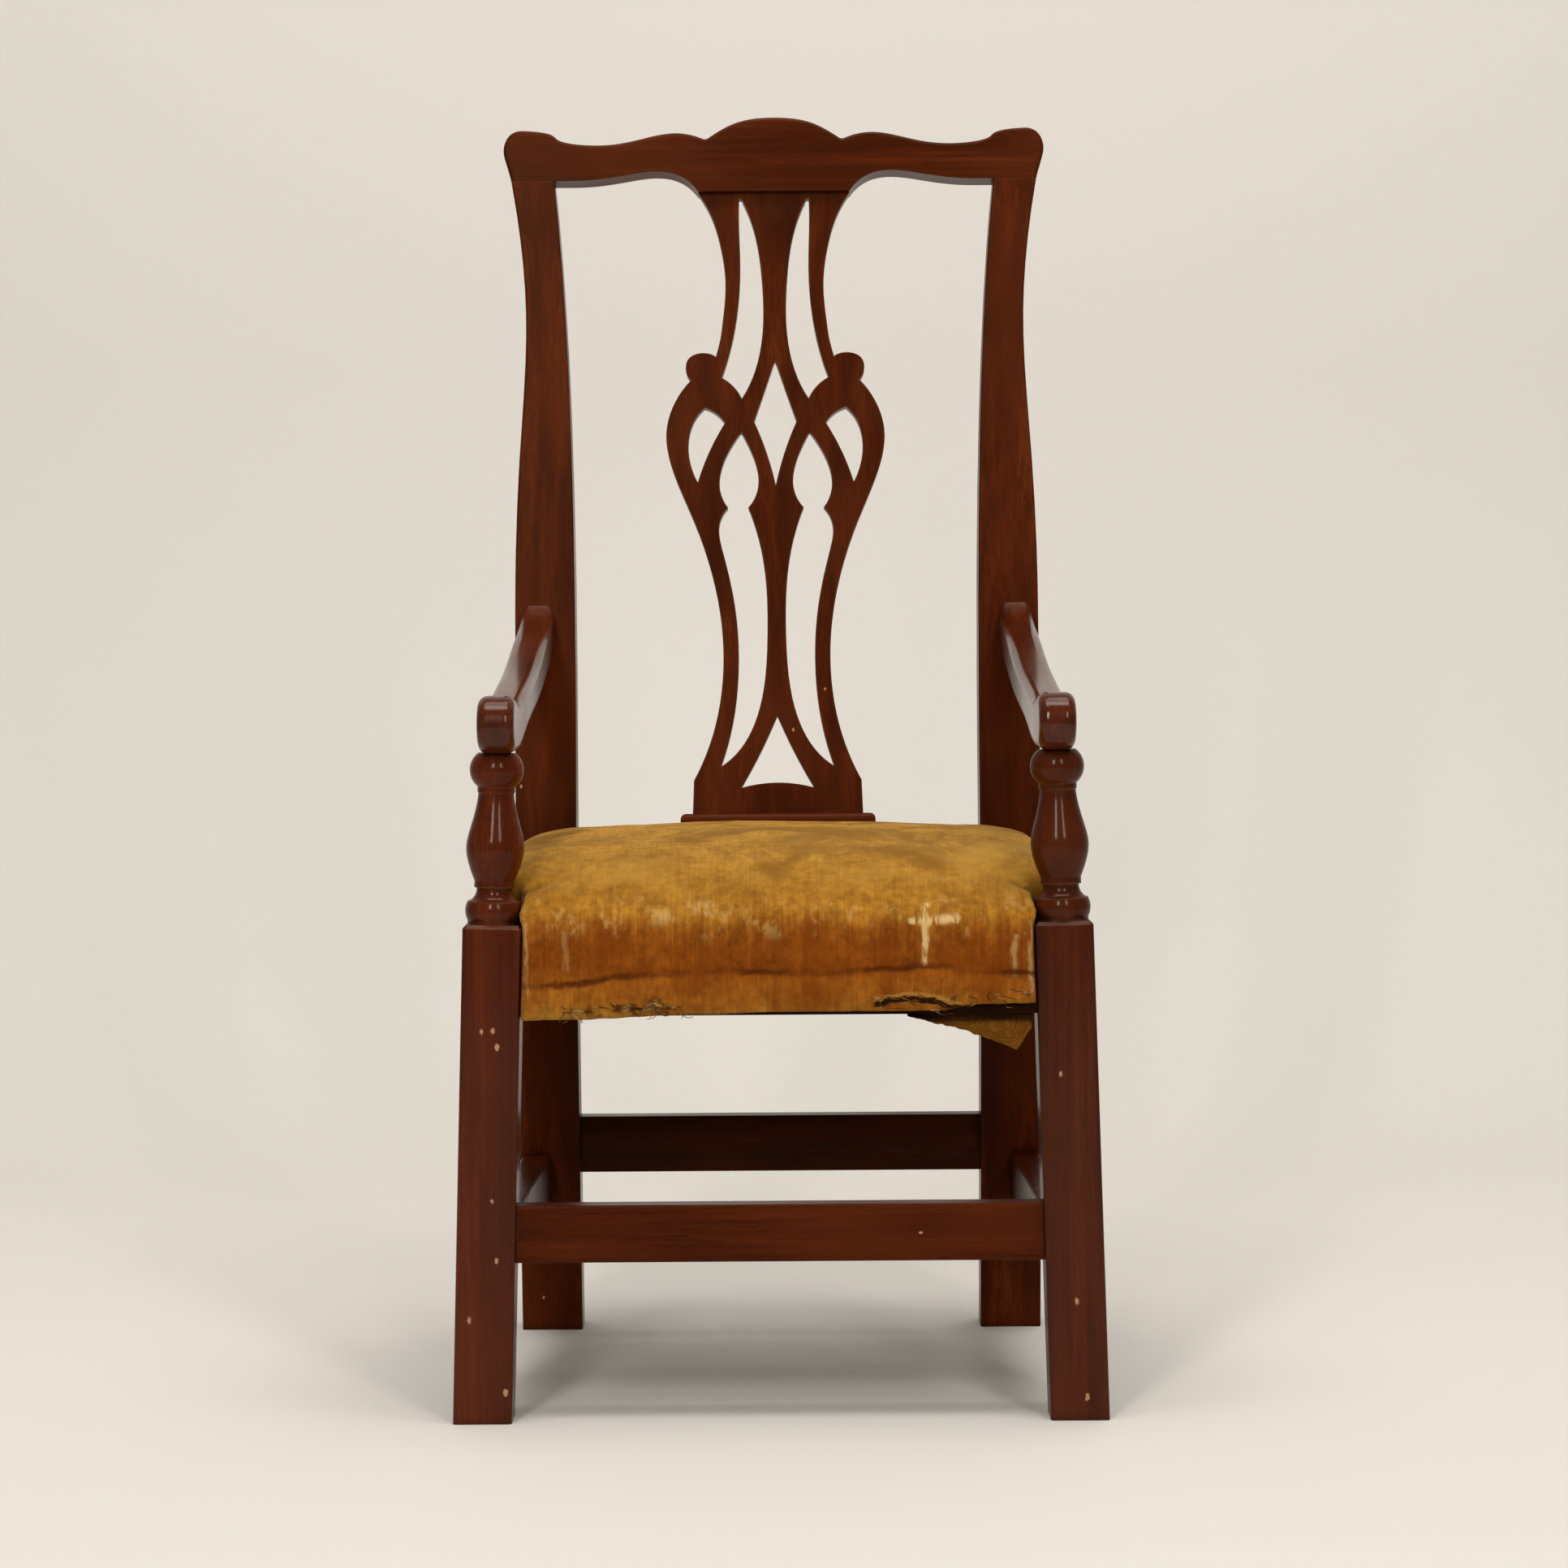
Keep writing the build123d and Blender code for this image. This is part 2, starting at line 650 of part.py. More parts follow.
with BuildPart() as seat_rail_rear:
    with Locations((0, rear_rail_y, rail_mid)):
        Box(2 * post_inner, rail_thickness, rail_height)
        Box(2 * (post_inner + tenon_length), tenon_thickness, rail_tenon_height)

with BuildPart() as stretcher_rear:
    with Locations((0, rear_stretcher_y, rear_stretcher_mid)):
        Box(2 * post_inner, stretcher_thickness, rear_stretcher_height)
    fillet(stretcher_rear.edges().filter_by(Axis.X), radius=stretcher_arris)
    with Locations((0, rear_stretcher_y, rear_stretcher_mid)):
        Box(2 * (post_inner + tenon_length), tenon_thickness, rear_stretcher_tenon)

# Side rail and side stretcher, on the right
with BuildPart() as seat_rail_side:
    with BuildSketch(Plane.XY.offset(rail_bottom)):
        Polygon(
            (side_rail_front_x, leg_rear_y),
            (side_rail_rear_x, post_y),
            (side_rail_rear_x - rail_thickness, post_y),
            (side_rail_front_x - rail_thickness, leg_rear_y),
            align=None,
        )
    extrude(amount=rail_height)
    with Locations((side_rail_front_mid, leg_rear_y - tenon_length, rail_mid)):
        Box(
            tenon_thickness,
            tenon_length + tenon_root,
            rail_tenon_height,
            align=(Align.CENTER, Align.MIN, Align.CENTER),
        )
    with Locations((side_rail_rear_mid, post_y + tenon_length, rail_mid)):
        Box(
            tenon_thickness,
            tenon_length + tenon_root,
            rail_tenon_height,
            align=(Align.CENTER, Align.MAX, Align.CENTER),
        )

with BuildPart() as stretcher_side:
    stretcher_rear_y = rear_leg_front_y(side_stretcher_mid)
    half_thickness = stretcher_thickness / 2
    stretcher_run = stretcher_rear_y - leg_rear_y
    stretcher_drift = (side_stretcher_rear_x - side_stretcher_front_x) / stretcher_run
    stretcher_past_x = side_stretcher_rear_x + stretcher_drift * tenon_length
    with BuildSketch(Plane.XY.offset(side_stretcher_top - side_stretcher_height)):
        Polygon(
            (side_stretcher_front_x - half_thickness, leg_rear_y),
            (side_stretcher_front_x + half_thickness, leg_rear_y),
            (stretcher_past_x + half_thickness, stretcher_rear_y + tenon_length),
            (stretcher_past_x - half_thickness, stretcher_rear_y + tenon_length),
            align=None,
        )
    extrude(amount=side_stretcher_height)
    long_edges = stretcher_side.edges().filter_by(lambda edge: edge.length > stretcher_run)
    fillet(long_edges, radius=stretcher_arris)
    split(bisect_by=rear_leg_plane, keep=Keep.BOTTOM)
    with Locations((side_stretcher_front_x, leg_rear_y - tenon_length, side_stretcher_mid)):
        Box(
            tenon_thickness,
            tenon_length + tenon_root,
            side_stretcher_tenon,
            align=(Align.CENTER, Align.MIN, Align.CENTER),
        )
    with Locations((side_stretcher_rear_x, stretcher_rear_y + tenon_length, side_stretcher_mid)):
        Box(
            tenon_thickness,
            tenon_length + 2 * tenon_root,
            side_stretcher_tenon,
            align=(Align.CENTER, Align.MAX, Align.CENTER),
        )

# Arm: sawn to a swept side view, cut to width, rounded, and bored for the post below
arm_front_x = post_seat_plane.origin.X
arm_roll_y = front_y - arm_overhang + arm_roll_radius
arm_roll_z = arm_seat_z + arm_roll_radius
arm_half = arm_width / 2
arm_end_top = (post_y + (arm_top_at_post - post_high_bend) * math.tan(rake), arm_top_at_post)
arm_end_under = (post_y + (arm_under_at_post - post_high_bend) * math.tan(rake), arm_under_at_post)
roll_top = (arm_roll_y, arm_roll_z + arm_roll_radius)
roll_under = (arm_roll_y, arm_seat_z - arm_seat_play)
arm_run = arm_end_top[0] - roll_top[0]
arm_climb = arm_end_top[1] - roll_top[1]


def on_arm(along, up, below=0):
    """A point of the arm's side view, in shares of its run and climb from the roll to the back post."""
    return (roll_top[0] + along * arm_run, roll_top[1] + up * arm_climb - below)


with BuildPart() as arm:
    with BuildSketch(Plane.YZ.offset(arm_rear_x - arm_width)):
        with BuildLine():
            Line(arm_end_top, arm_end_under)
            Spline(
                arm_end_top,
                on_arm(0.84, 0.67),
                on_arm(0.58, 0.31),
                on_arm(0.26, 0),
                on_arm(0.124, -arm_hollow / arm_climb),
                roll_top,
                tangents=((-0.75, -0.66), (-1, 0)),
            )
            ThreePointArc(roll_top, (front_y - arm_overhang, arm_roll_z - arm_seat_play / 2), roll_under)
            Line(roll_under, (leg_rear_y, roll_under[1]))
            Spline(
                (leg_rear_y, roll_under[1]),
                on_arm(0.26, 0, arm_thickness),
                on_arm(0.58, 0.31, arm_thickness),
                on_arm(0.84, 0.67, arm_end_height),
                arm_end_under,
                tangents=((1, 0), (0.75, 0.66)),
            )
        make_face()
    extrude(amount=3 * arm_width)
    with BuildSketch(Plane.XY.offset(arm_seat_z - arm_thickness)):
        Polygon(
            (arm_front_x - arm_half, front_y - 2 * arm_overhang),
            (arm_front_x + arm_half, front_y - 2 * arm_overhang),
            (arm_rear_x + arm_half, post_y + arm_width * 2),
            (arm_rear_x - arm_half, post_y + arm_width * 2),
            align=None,
        )
    extrude(amount=6 * arm_thickness, mode=Mode.INTERSECT)
    flank_edges = arm.edges().filter_by(lambda edge: edge.length > arm_width * 1.2)
    fillet(flank_edges, radius=arm_round)
    with BuildSketch(post_seat_plane):
        Circle(ball_root + 3 * arm_seat_play)
    extrude(amount=-arm_thickness, mode=Mode.SUBTRACT)
    with BuildSketch(post_seat_plane):
        Circle(post_tenon_radius + joint_gap)
    extrude(amount=post_tenon_length + joint_gap, mode=Mode.SUBTRACT)
    with Locations((arm_rear_x, arm_shoulder_y + tenon_length, arm_tenon_z)):
        Box(
            tenon_thickness,
            tenon_length + 2 * tenon_root,
            arm_tenon_height,
            align=(Align.CENTER, Align.MAX, Align.CENTER),
        )

# Corner blocks glued into the angles of the seat frame, on the right
block_bottom = rail_top - block_drop - block_height
leg_clear_x = leg_inner_x(rail_top) - block_clearance
leg_clear = leg_side + block_clearance
front_rail_back = front_rail_inset + rail_thickness


def side_rail_inside(depth):
    """Inner face of the right side rail, as a point in plan."""
    return (side_rail_x(depth) - rail_thickness, front_y + depth)


with BuildPart() as corner_block_front:
    with BuildSketch(Plane.XY.offset(block_bottom)):
        Polygon(
            (leg_clear_x - block_reach, front_y + front_rail_back),
            (leg_clear_x, front_y + front_rail_back),
            (leg_clear_x, front_y + leg_clear),
            side_rail_inside(leg_clear),
            side_rail_inside(leg_clear + block_reach),
            align=None,
        )
    extrude(amount=block_height)

with BuildPart() as corner_block_rear:
    rear_rail_front = post_y + rear_rail_inset
    post_clear = seat_depth - block_clearance
    with BuildSketch(Plane.XY.offset(block_bottom)):
        Polygon(
            (post_inner - block_clearance - block_reach, rear_rail_front),
            (post_inner - block_clearance, rear_rail_front),
            (post_inner - block_clearance, front_y + post_clear),
            side_rail_inside(post_clear),
            side_rail_inside(post_clear - block_reach),
            align=None,
        )
    extrude(amount=block_height)

# Webbing: three straps front to back on the rails, and three across them
with BuildPart() as webbing_lengthwise:
    strap_front = front_rail_y - rail_thickness / 4
    strap_length = rear_rail_y - strap_front
    for place in (-1, 0, 1):
        with Locations((place * strap_spacing, strap_front, rail_top)):
            Box(strap_width, strap_length, strap_thickness, align=(Align.CENTER, Align.MIN, Align.MIN))

with BuildPart() as webbing_crosswise:
    lower_top = rail_top + strap_thickness
    upper_top = lower_top + strap_thickness
    for place in (0, 1, 2):
        strap_depth = cross_strap_front + place * cross_strap_spacing
        strap_end = side_rail_x(strap_depth + strap_width) - rail_thickness / 3
        strap_step = side_rail_x(strap_depth) - rail_thickness
        with BuildSketch(Plane.XZ.offset(-(front_y + strap_depth + strap_width / 2))):
            with BuildLine():
                Polyline(
                    (0, lower_top),
                    (strap_spacing + strap_width, lower_top),
                    (strap_step, rail_top),
                    (strap_end, rail_top),
                    (strap_end, lower_top),
                    (strap_step, lower_top),
                    (strap_spacing + strap_width, upper_top),
                    (0, upper_top),
                )
                mirror(about=Plane.YZ)
            make_face()
        extrude(amount=strap_width / 2, both=True)

# The cover stands clear of the rails and of the shoe
cover_bottom = rail_bottom + cover_lift
cover_side_proud = cover_thickness + cloth_gap
cover_front_proud = cover_thickness + cloth_gap - front_rail_inset
cover_rear = seat_depth + shoe_front - notch_gap
crown_height = rail_top + seat_crown

# Base cloth over the webbing
base_cloth_bottom = rail_top + 2 * strap_thickness
base_cloth_rear = cover_rear - cover_thickness - cloth_gap
with BuildPart() as base_cloth:
    with BuildSketch(Plane.XY.offset(base_cloth_bottom)):
        with BuildLine():
            Polyline(
                (0, front_y + rail_thickness / 4),
                (leg_clear_x, front_y + rail_thickness / 4),
                (leg_clear_x, front_y + leg_clear),
                (side_rail_x(leg_clear) - rail_thickness / 4, front_y + leg_clear),
                (side_rail_x(post_clear) - rail_thickness / 4, front_y + post_clear),
                (post_inner - block_clearance, front_y + post_clear),
                (post_inner - block_clearance, front_y + base_cloth_rear),
                (0, front_y + base_cloth_rear),
            )
            mirror(about=Plane.YZ)
        make_face()
    extrude(amount=base_cloth_thickness)

# Seat form: even cross sections from front to back, with flat sides, round shoulders and a low crown.
# A section holds how far its shoulder and its crown lie below the highest point of the seat.
seat_sections = (
    (54.0, 42.0),
    (54.0, 10.0),
    (53.0, 3.0),
    (52.0, 0.0),
    (51.0, 1.2),
    (50.0, 5.0),
)


def seat_form(inset, bottom):
    """The stuffed seat as one solid, drawn in all round by an inset."""
    first = inset - cover_front_proud
    last = cover_rear - inset
    with BuildPart() as form:
        for step, (shoulder_fall, crown_fall) in enumerate(seat_sections):
            place = between(first, last, step / (len(seat_sections) - 1))
            half = side_rail_x(place) + cover_side_proud - inset
            crown = crown_height - crown_fall - inset
            shoulder = crown_height - shoulder_fall - inset
            edge = (half - shoulder_width, crown - crown_rise)
            bulge = (half - 0.3 * shoulder_width, between(shoulder, edge[1], 0.72))
            with BuildSketch(Plane.XZ.offset(-front_y - place)):
                with BuildLine():
                    Polyline((0, bottom), (half, bottom), (half, shoulder))
                    ThreePointArc((half, shoulder), bulge, edge)
                    mirror(about=Plane.YZ)
                    ThreePointArc(edge, (0, crown), (-edge[0], edge[1]))
                make_face()
        loft()
    return form.part


cover_outside = seat_form(0, cover_bottom)
cover_inside = seat_form(cover_thickness, cover_bottom - cover_thickness)
stuffing_form = seat_form(cover_thickness + cloth_gap, cover_bottom)

# What the legs and posts take out of the seat's corners, with a little room
notch_size = 3 * leg_side
with BuildPart() as corner_notches:
    with BuildSketch(leg_plane):
        with Locations((-leg_side / 2 - notch_gap, leg_side / 2 + notch_gap)):
            Rectangle(notch_size, notch_size, align=(Align.MIN, Align.MAX))
    extrude(amount=2 * crown_height)
    with BuildSketch():
        with Locations((post_inner - notch_gap, post_y - notch_gap)):
            Rectangle(notch_size, notch_size, align=Align.MIN)
    extrude(amount=2 * crown_height)
    mirror(about=Plane.YZ)

# Stuffing on the base cloth, cut round the legs and posts
with BuildPart() as seat_stuffing:
    add(stuffing_form)
    split(bisect_by=Plane.XY.offset(base_cloth_bottom + base_cloth_thickness), keep=Keep.TOP)
    add(corner_notches.part, mode=Mode.SUBTRACT)

# Velvet cover: a skin over the stuffing and down the outside of the rails
with BuildPart() as seat_cover:
    add(cover_outside)
    add(cover_inside, mode=Mode.SUBTRACT)
    add(corner_notches.part, mode=Mode.SUBTRACT)
    # Nothing hangs inside the rear rail
    with Locations((0, post_y - notch_gap, rail_top + rear_tuck)):
        Box(
            4 * post_inner,
            notch_size,
            2 * rail_height,
            align=(Align.CENTER, Align.MIN, Align.MAX),
            mode=Mode.SUBTRACT,
        )

# Torn lining: a waving strip under the front rail, cut to a ragged corner
with BuildPart() as torn_lining:
    lining_y = front_rail_y - rail_thickness / 4
    lining_right = leg_inner_x(rail_bottom) - lining_leg_gap
    lining_left = lining_right - lining_length
    with BuildSketch(Plane.XY.offset(rail_bottom)):
        with BuildLine():
            crests = [
                (lining_left + lining_length * step / 4, lining_y + lining_wave * (-1) ** step)
                for step in range(5)
            ]
            front_fold = Spline(*crests)
            back_fold = Spline(*[(x, y + lining_thickness) for x, y in crests])
            Line(front_fold @ 0, back_fold @ 0)
            Line(front_fold @ 1, back_fold @ 1)
        make_face()
    extrude(amount=-lining_drop)
    with BuildSketch(Plane.XZ):
        Polygon(
            (lining_left, rail_bottom),
            (lining_right, rail_bottom),
            (lining_right, rail_bottom - 0.35 * lining_drop),
            (lining_right - 0.12 * lining_length, rail_bottom - lining_drop),
            (lining_left + 0.45 * lining_length, rail_bottom - 0.4 * lining_drop),
            align=None,
        )
    extrude(amount=rear_reach, both=True, mode=Mode.INTERSECT)

# Pieces on the middle line, then the pairs: each right-hand piece and its mirror image
single_pieces = {
    "crest_rail": crest_rail,
    "splat": splat,
    "splat_shoe": splat_shoe,
    "seat_rail_front": seat_rail_front,
    "seat_rail_rear": seat_rail_rear,
    "stretcher_front": stretcher_front,
    "stretcher_rear": stretcher_rear,
    "webbing_lengthwise": webbing_lengthwise,
    "webbing_crosswise": webbing_crosswise,
    "base_cloth": base_cloth,
    "seat_stuffing": seat_stuffing,
    "seat_cover": seat_cover,
    "torn_lining": torn_lining,
}
for name, piece in single_pieces.items():
    piece.part.label = name
    export_step(piece.part, f"parts/{name}.step")

paired_pieces = {
    "front_leg": front_leg,
    "back_post": back_post,
    "arm": arm,
    "seat_rail": seat_rail_side,
    "stretcher": stretcher_side,
    "corner_block_front": corner_block_front,
    "corner_block_rear": corner_block_rear,
}
for name, right_piece in paired_pieces.items():
    with BuildPart() as left_piece:
        mirror(right_piece.part, about=Plane.YZ)
    for piece, side in ((left_piece, "left"), (right_piece, "right")):
        piece.part.label = f"{name}_{side}"
        export_step(piece.part, f"parts/{name}_{side}.step")
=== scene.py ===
# %% [markdown]
# # A worn child's armchair
# The chair is mahogany: square legs, turned arm posts, a pierced splat and a serpentine crest. Its seat is
# stuffed and covered in velvet that has faded, split and frayed. The wooden pieces come from the measured
# model and keep their shape. This lesson dresses them, and makes the soft pieces afresh.

# %% Load the measured chair
import math
import random

import bpy
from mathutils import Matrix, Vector, noise


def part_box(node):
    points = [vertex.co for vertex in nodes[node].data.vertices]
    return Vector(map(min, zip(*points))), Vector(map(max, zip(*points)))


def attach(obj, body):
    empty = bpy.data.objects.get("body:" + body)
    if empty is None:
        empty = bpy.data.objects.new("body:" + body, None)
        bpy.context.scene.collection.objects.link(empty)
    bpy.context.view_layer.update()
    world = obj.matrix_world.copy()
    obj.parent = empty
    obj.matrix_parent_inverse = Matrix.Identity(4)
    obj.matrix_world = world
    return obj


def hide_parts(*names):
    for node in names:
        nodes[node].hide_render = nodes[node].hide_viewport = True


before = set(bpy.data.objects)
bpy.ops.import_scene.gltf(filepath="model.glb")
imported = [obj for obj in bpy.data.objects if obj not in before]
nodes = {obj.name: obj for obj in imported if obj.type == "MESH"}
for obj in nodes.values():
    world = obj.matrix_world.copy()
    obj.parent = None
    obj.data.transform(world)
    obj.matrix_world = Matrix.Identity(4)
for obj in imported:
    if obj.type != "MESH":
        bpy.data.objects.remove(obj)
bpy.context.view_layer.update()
MM = 0.001
front_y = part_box("front_leg_left")[0].y
print("pieces:", len(nodes), "front of the legs:", round(front_y, 4))

# %% [markdown]
# ## Camera
# The chair is seen square on from the front, a little above the seat, from far enough away that the back
# looks hardly smaller than the front. A long lens some two and a half metres away gives that perspective.

# %% Camera
image_side = 1932
focal_pixels = 5460
horizon_row = 710
camera_distance = 2.6
camera_height = 0.5
camera_side = 0.005
camera_roll = 0.4
sensor = 36

camera_data = bpy.data.cameras.new("camera")
camera_data.sensor_width = sensor
camera_data.lens = focal_pixels / image_side * sensor
camera = bpy.data.objects.new("camera", camera_data)
bpy.context.scene.collection.objects.link(camera)
camera.location = (camera_side, front_y - camera_distance, camera_height)
pitch = math.atan((image_side / 2 - horizon_row) / focal_pixels)
camera.rotation_euler = (math.pi / 2 - pitch, math.radians(camera_roll), 0)
bpy.context.scene.camera = camera
bpy.context.scene.view_settings.view_transform = "Standard"
print("lens", round(camera_data.lens, 2), "pitch", round(math.degrees(pitch), 2))

# %% [markdown]
# ## Making materials in code
# Every finish here is a small graph of nodes. Short helpers keep the graphs readable: they add a node and
# fill its sockets, do arithmetic, stretch a range of values, blend two colours by a mask, and make noise.

# %% Helpers for materials


def new_material(name):
    """A material with its node tree and its main shader."""
    made = bpy.data.materials.new(name)
    made.use_nodes = True
    return made, made.node_tree, made.node_tree.nodes["Principled BSDF"]


def fill(tree, node, inputs):
    """Fills each named socket of a node with a value or a link."""
    for key, value in inputs.items():
        if isinstance(value, bpy.types.NodeSocket):
            tree.links.new(value, node.inputs[key])
        else:
            node.inputs[key].default_value = value


def add(tree, kind, inputs=None, **settings):
    """Adds a node, sets its options, and fills its sockets."""
    made = tree.nodes.new("ShaderNode" + kind)
    for key, value in settings.items():
        setattr(made, key, value)
    fill(tree, made, inputs or {})
    return made


def maths(tree, operation, *values, clamp=False):
    """One arithmetic step, as a socket."""
    made = add(tree, "Math", dict(enumerate(values)), operation=operation, use_clamp=clamp)
    return made.outputs[0]


def product(tree, first, *others):
    """Masks multiplied together, as a socket."""
    for other in others:
        first = maths(tree, "MULTIPLY", first, other)
    return first


def remap(tree, value, low, high, to_low=0.0, to_high=1.0):
    """Stretches a stretch of values to another, smoothly and without overshoot."""
    inputs = {"Value": value, "From Min": low, "From Max": high, "To Min": to_low, "To Max": to_high}
    return add(tree, "MapRange", inputs, interpolation_type="SMOOTHSTEP").outputs["Result"]


def blend(tree, mask, first, second, how="MIX"):
    """Mixes two colours by a mask."""
    made = add(tree, "Mix", {0: mask, 6: first, 7: second}, data_type="RGBA", blend_type=how)
    return made.outputs[2]


def ramp(tree, value, *stops):
    """A colour ramp through stops of (place, colour)."""
    made = add(tree, "ValToRGB", {"Fac": value})
    elements = made.color_ramp.elements
    while len(elements) < len(stops):
        elements.new(0.5)
    for element, (place, colour) in zip(elements, stops):
        element.position = place
        element.color = (*colour, 1)
    return made.outputs["Color"]


def stretched(tree, scale):
    """Object coordinates, scaled along each axis."""
    coords = add(tree, "TexCoord").outputs["Object"]
    return add(tree, "Mapping", {"Vector": coords, "Scale": scale}).outputs["Vector"]


def grain_noise(tree, scale, detail=4.0, roughness=0.55, distortion=0.0):
    """Noise in Object coordinates with its own scale along X, Y and Z, in waves to the metre."""
    inputs = {
        "Vector": stretched(tree, scale),
        "Scale": 1.0,
        "Detail": detail,
        "Roughness": roughness,
        "Distortion": distortion,
    }
    return add(tree, "TexNoise", inputs).outputs["Fac"]


# %% [markdown]
# ## Stage and light
# A sheet of pale paper makes the floor and turns up into the background. Two tall soft lamps stand near the
# camera, because polished turnings show lamps as a pair of bright upright streaks. A wide lamp overhead
# lights the seat, and a low world light fills the shadows.

# %% Stage and light


def only(*pieces):
    """Selects these objects and nothing else, the first one active."""
    bpy.ops.object.select_all(action="DESELECT")
    for piece in pieces:
        piece.select_set(True)
    bpy.context.view_layer.objects.active = pieces[0]


paper_width = 9.0
paper_front = -4.0
paper_back = 1.6
paper_rise = 4.5
paper_turn = 0.7

bpy.ops.object.select_all(action="DESELECT")
bpy.ops.mesh.primitive_plane_add(size=1, location=(0, (paper_front + paper_back) / 2, 0))
paper = bpy.context.object
paper.name = "paper"
paper.scale = (paper_width, paper_back - paper_front, 1)
bpy.ops.object.transform_apply(location=True, scale=True)
back_edge = [edge for edge in paper.data.edges if all(paper.data.vertices[v].co.y > 0 for v in edge.vertices)]
for element in (*paper.data.vertices, *paper.data.edges, *paper.data.polygons):
    element.select = False
back_edge[0].select = True
for index in back_edge[0].vertices:
    paper.data.vertices[index].select = True
bpy.ops.object.mode_set(mode="EDIT")
bpy.ops.mesh.select_mode(type="EDGE")
bpy.ops.mesh.extrude_region_move(TRANSFORM_OT_translate={"value": (0, 0, paper_rise)})
bpy.ops.object.mode_set(mode="OBJECT")
turn = paper.modifiers.new("turn", "BEVEL")
turn.width = paper_turn
turn.segments = 16
bpy.ops.object.modifier_apply(modifier="turn")
bpy.ops.object.shade_smooth()

paper_material, paper_tree, paper_shader = new_material("pale_paper")
paper_look = {"Base Color": (0.76, 0.74, 0.71, 1), "Roughness": 0.85, "Specular IOR Level": 0.1}
fill(paper_tree, paper_shader, paper_look)
# Seen from its back, the paper lets the view through, so the chair can be looked at from every side.
see_through = add(paper_tree, "BsdfTransparent").outputs["BSDF"]
from_back = add(paper_tree, "NewGeometry").outputs["Backfacing"]
one_sided = add(paper_tree, "MixShader", {0: from_back, 1: paper_shader.outputs["BSDF"], 2: see_through})
fill(paper_tree, paper_tree.nodes["Material Output"], {"Surface": one_sided.outputs["Shader"]})
paper.data.materials.append(paper_material)


def lamp(name, place, aim, width, height, power, colour):
    """A soft rectangular lamp at a place, turned to shine at a point."""
    data = bpy.data.lights.new(name, "AREA")
    data.shape = "RECTANGLE"
    data.size = width
    data.size_y = height
    data.energy = power
    data.color = colour
    made = bpy.data.objects.new(name, data)
    bpy.context.scene.collection.objects.link(made)
    made.location = place
    made.rotation_euler = (Vector(aim) - Vector(place)).to_track_quat("-Z", "Y").to_euler()


warm = (1.0, 0.95, 0.88)
chair_middle = (0, 0, 0.42)
lamp("strip_left", (-0.75, -2.9, 1.75), chair_middle, 0.35, 1.2, 30, warm)
lamp("strip_right", (0.95, -2.7, 1.75), chair_middle, 0.35, 1.2, 19, warm)
lamp("overhead", (0.1, -0.3, 2.9), chair_middle, 2.2, 1.8, 40, warm)
lamp("backdrop_wash", (0, -0.9, 3.4), (0, paper_back, 1.0), 3.0, 0.8, 30, warm)

world = bpy.data.worlds.new("studio")
bpy.context.scene.world = world
world.use_nodes = True
fill(world.node_tree, world.node_tree.nodes["Background"], {"Color": (1.0, 0.98, 0.95, 1), "Strength": 0.2})

# %% [markdown]
# ## Mahogany
# The wood is old mahogany, dark red-brown under worn polish. The figure runs along each piece, with short
# dark pores. Edges that hands and feet rub are lighter, corners are darkened by grime and painted shade, and
# small pale nicks show where the surface has been knocked. One function makes the finish, and is told which
# way the grain runs.

# %% Mahogany finish
knock_squeeze = 0.6  # knocks are taller than they are wide


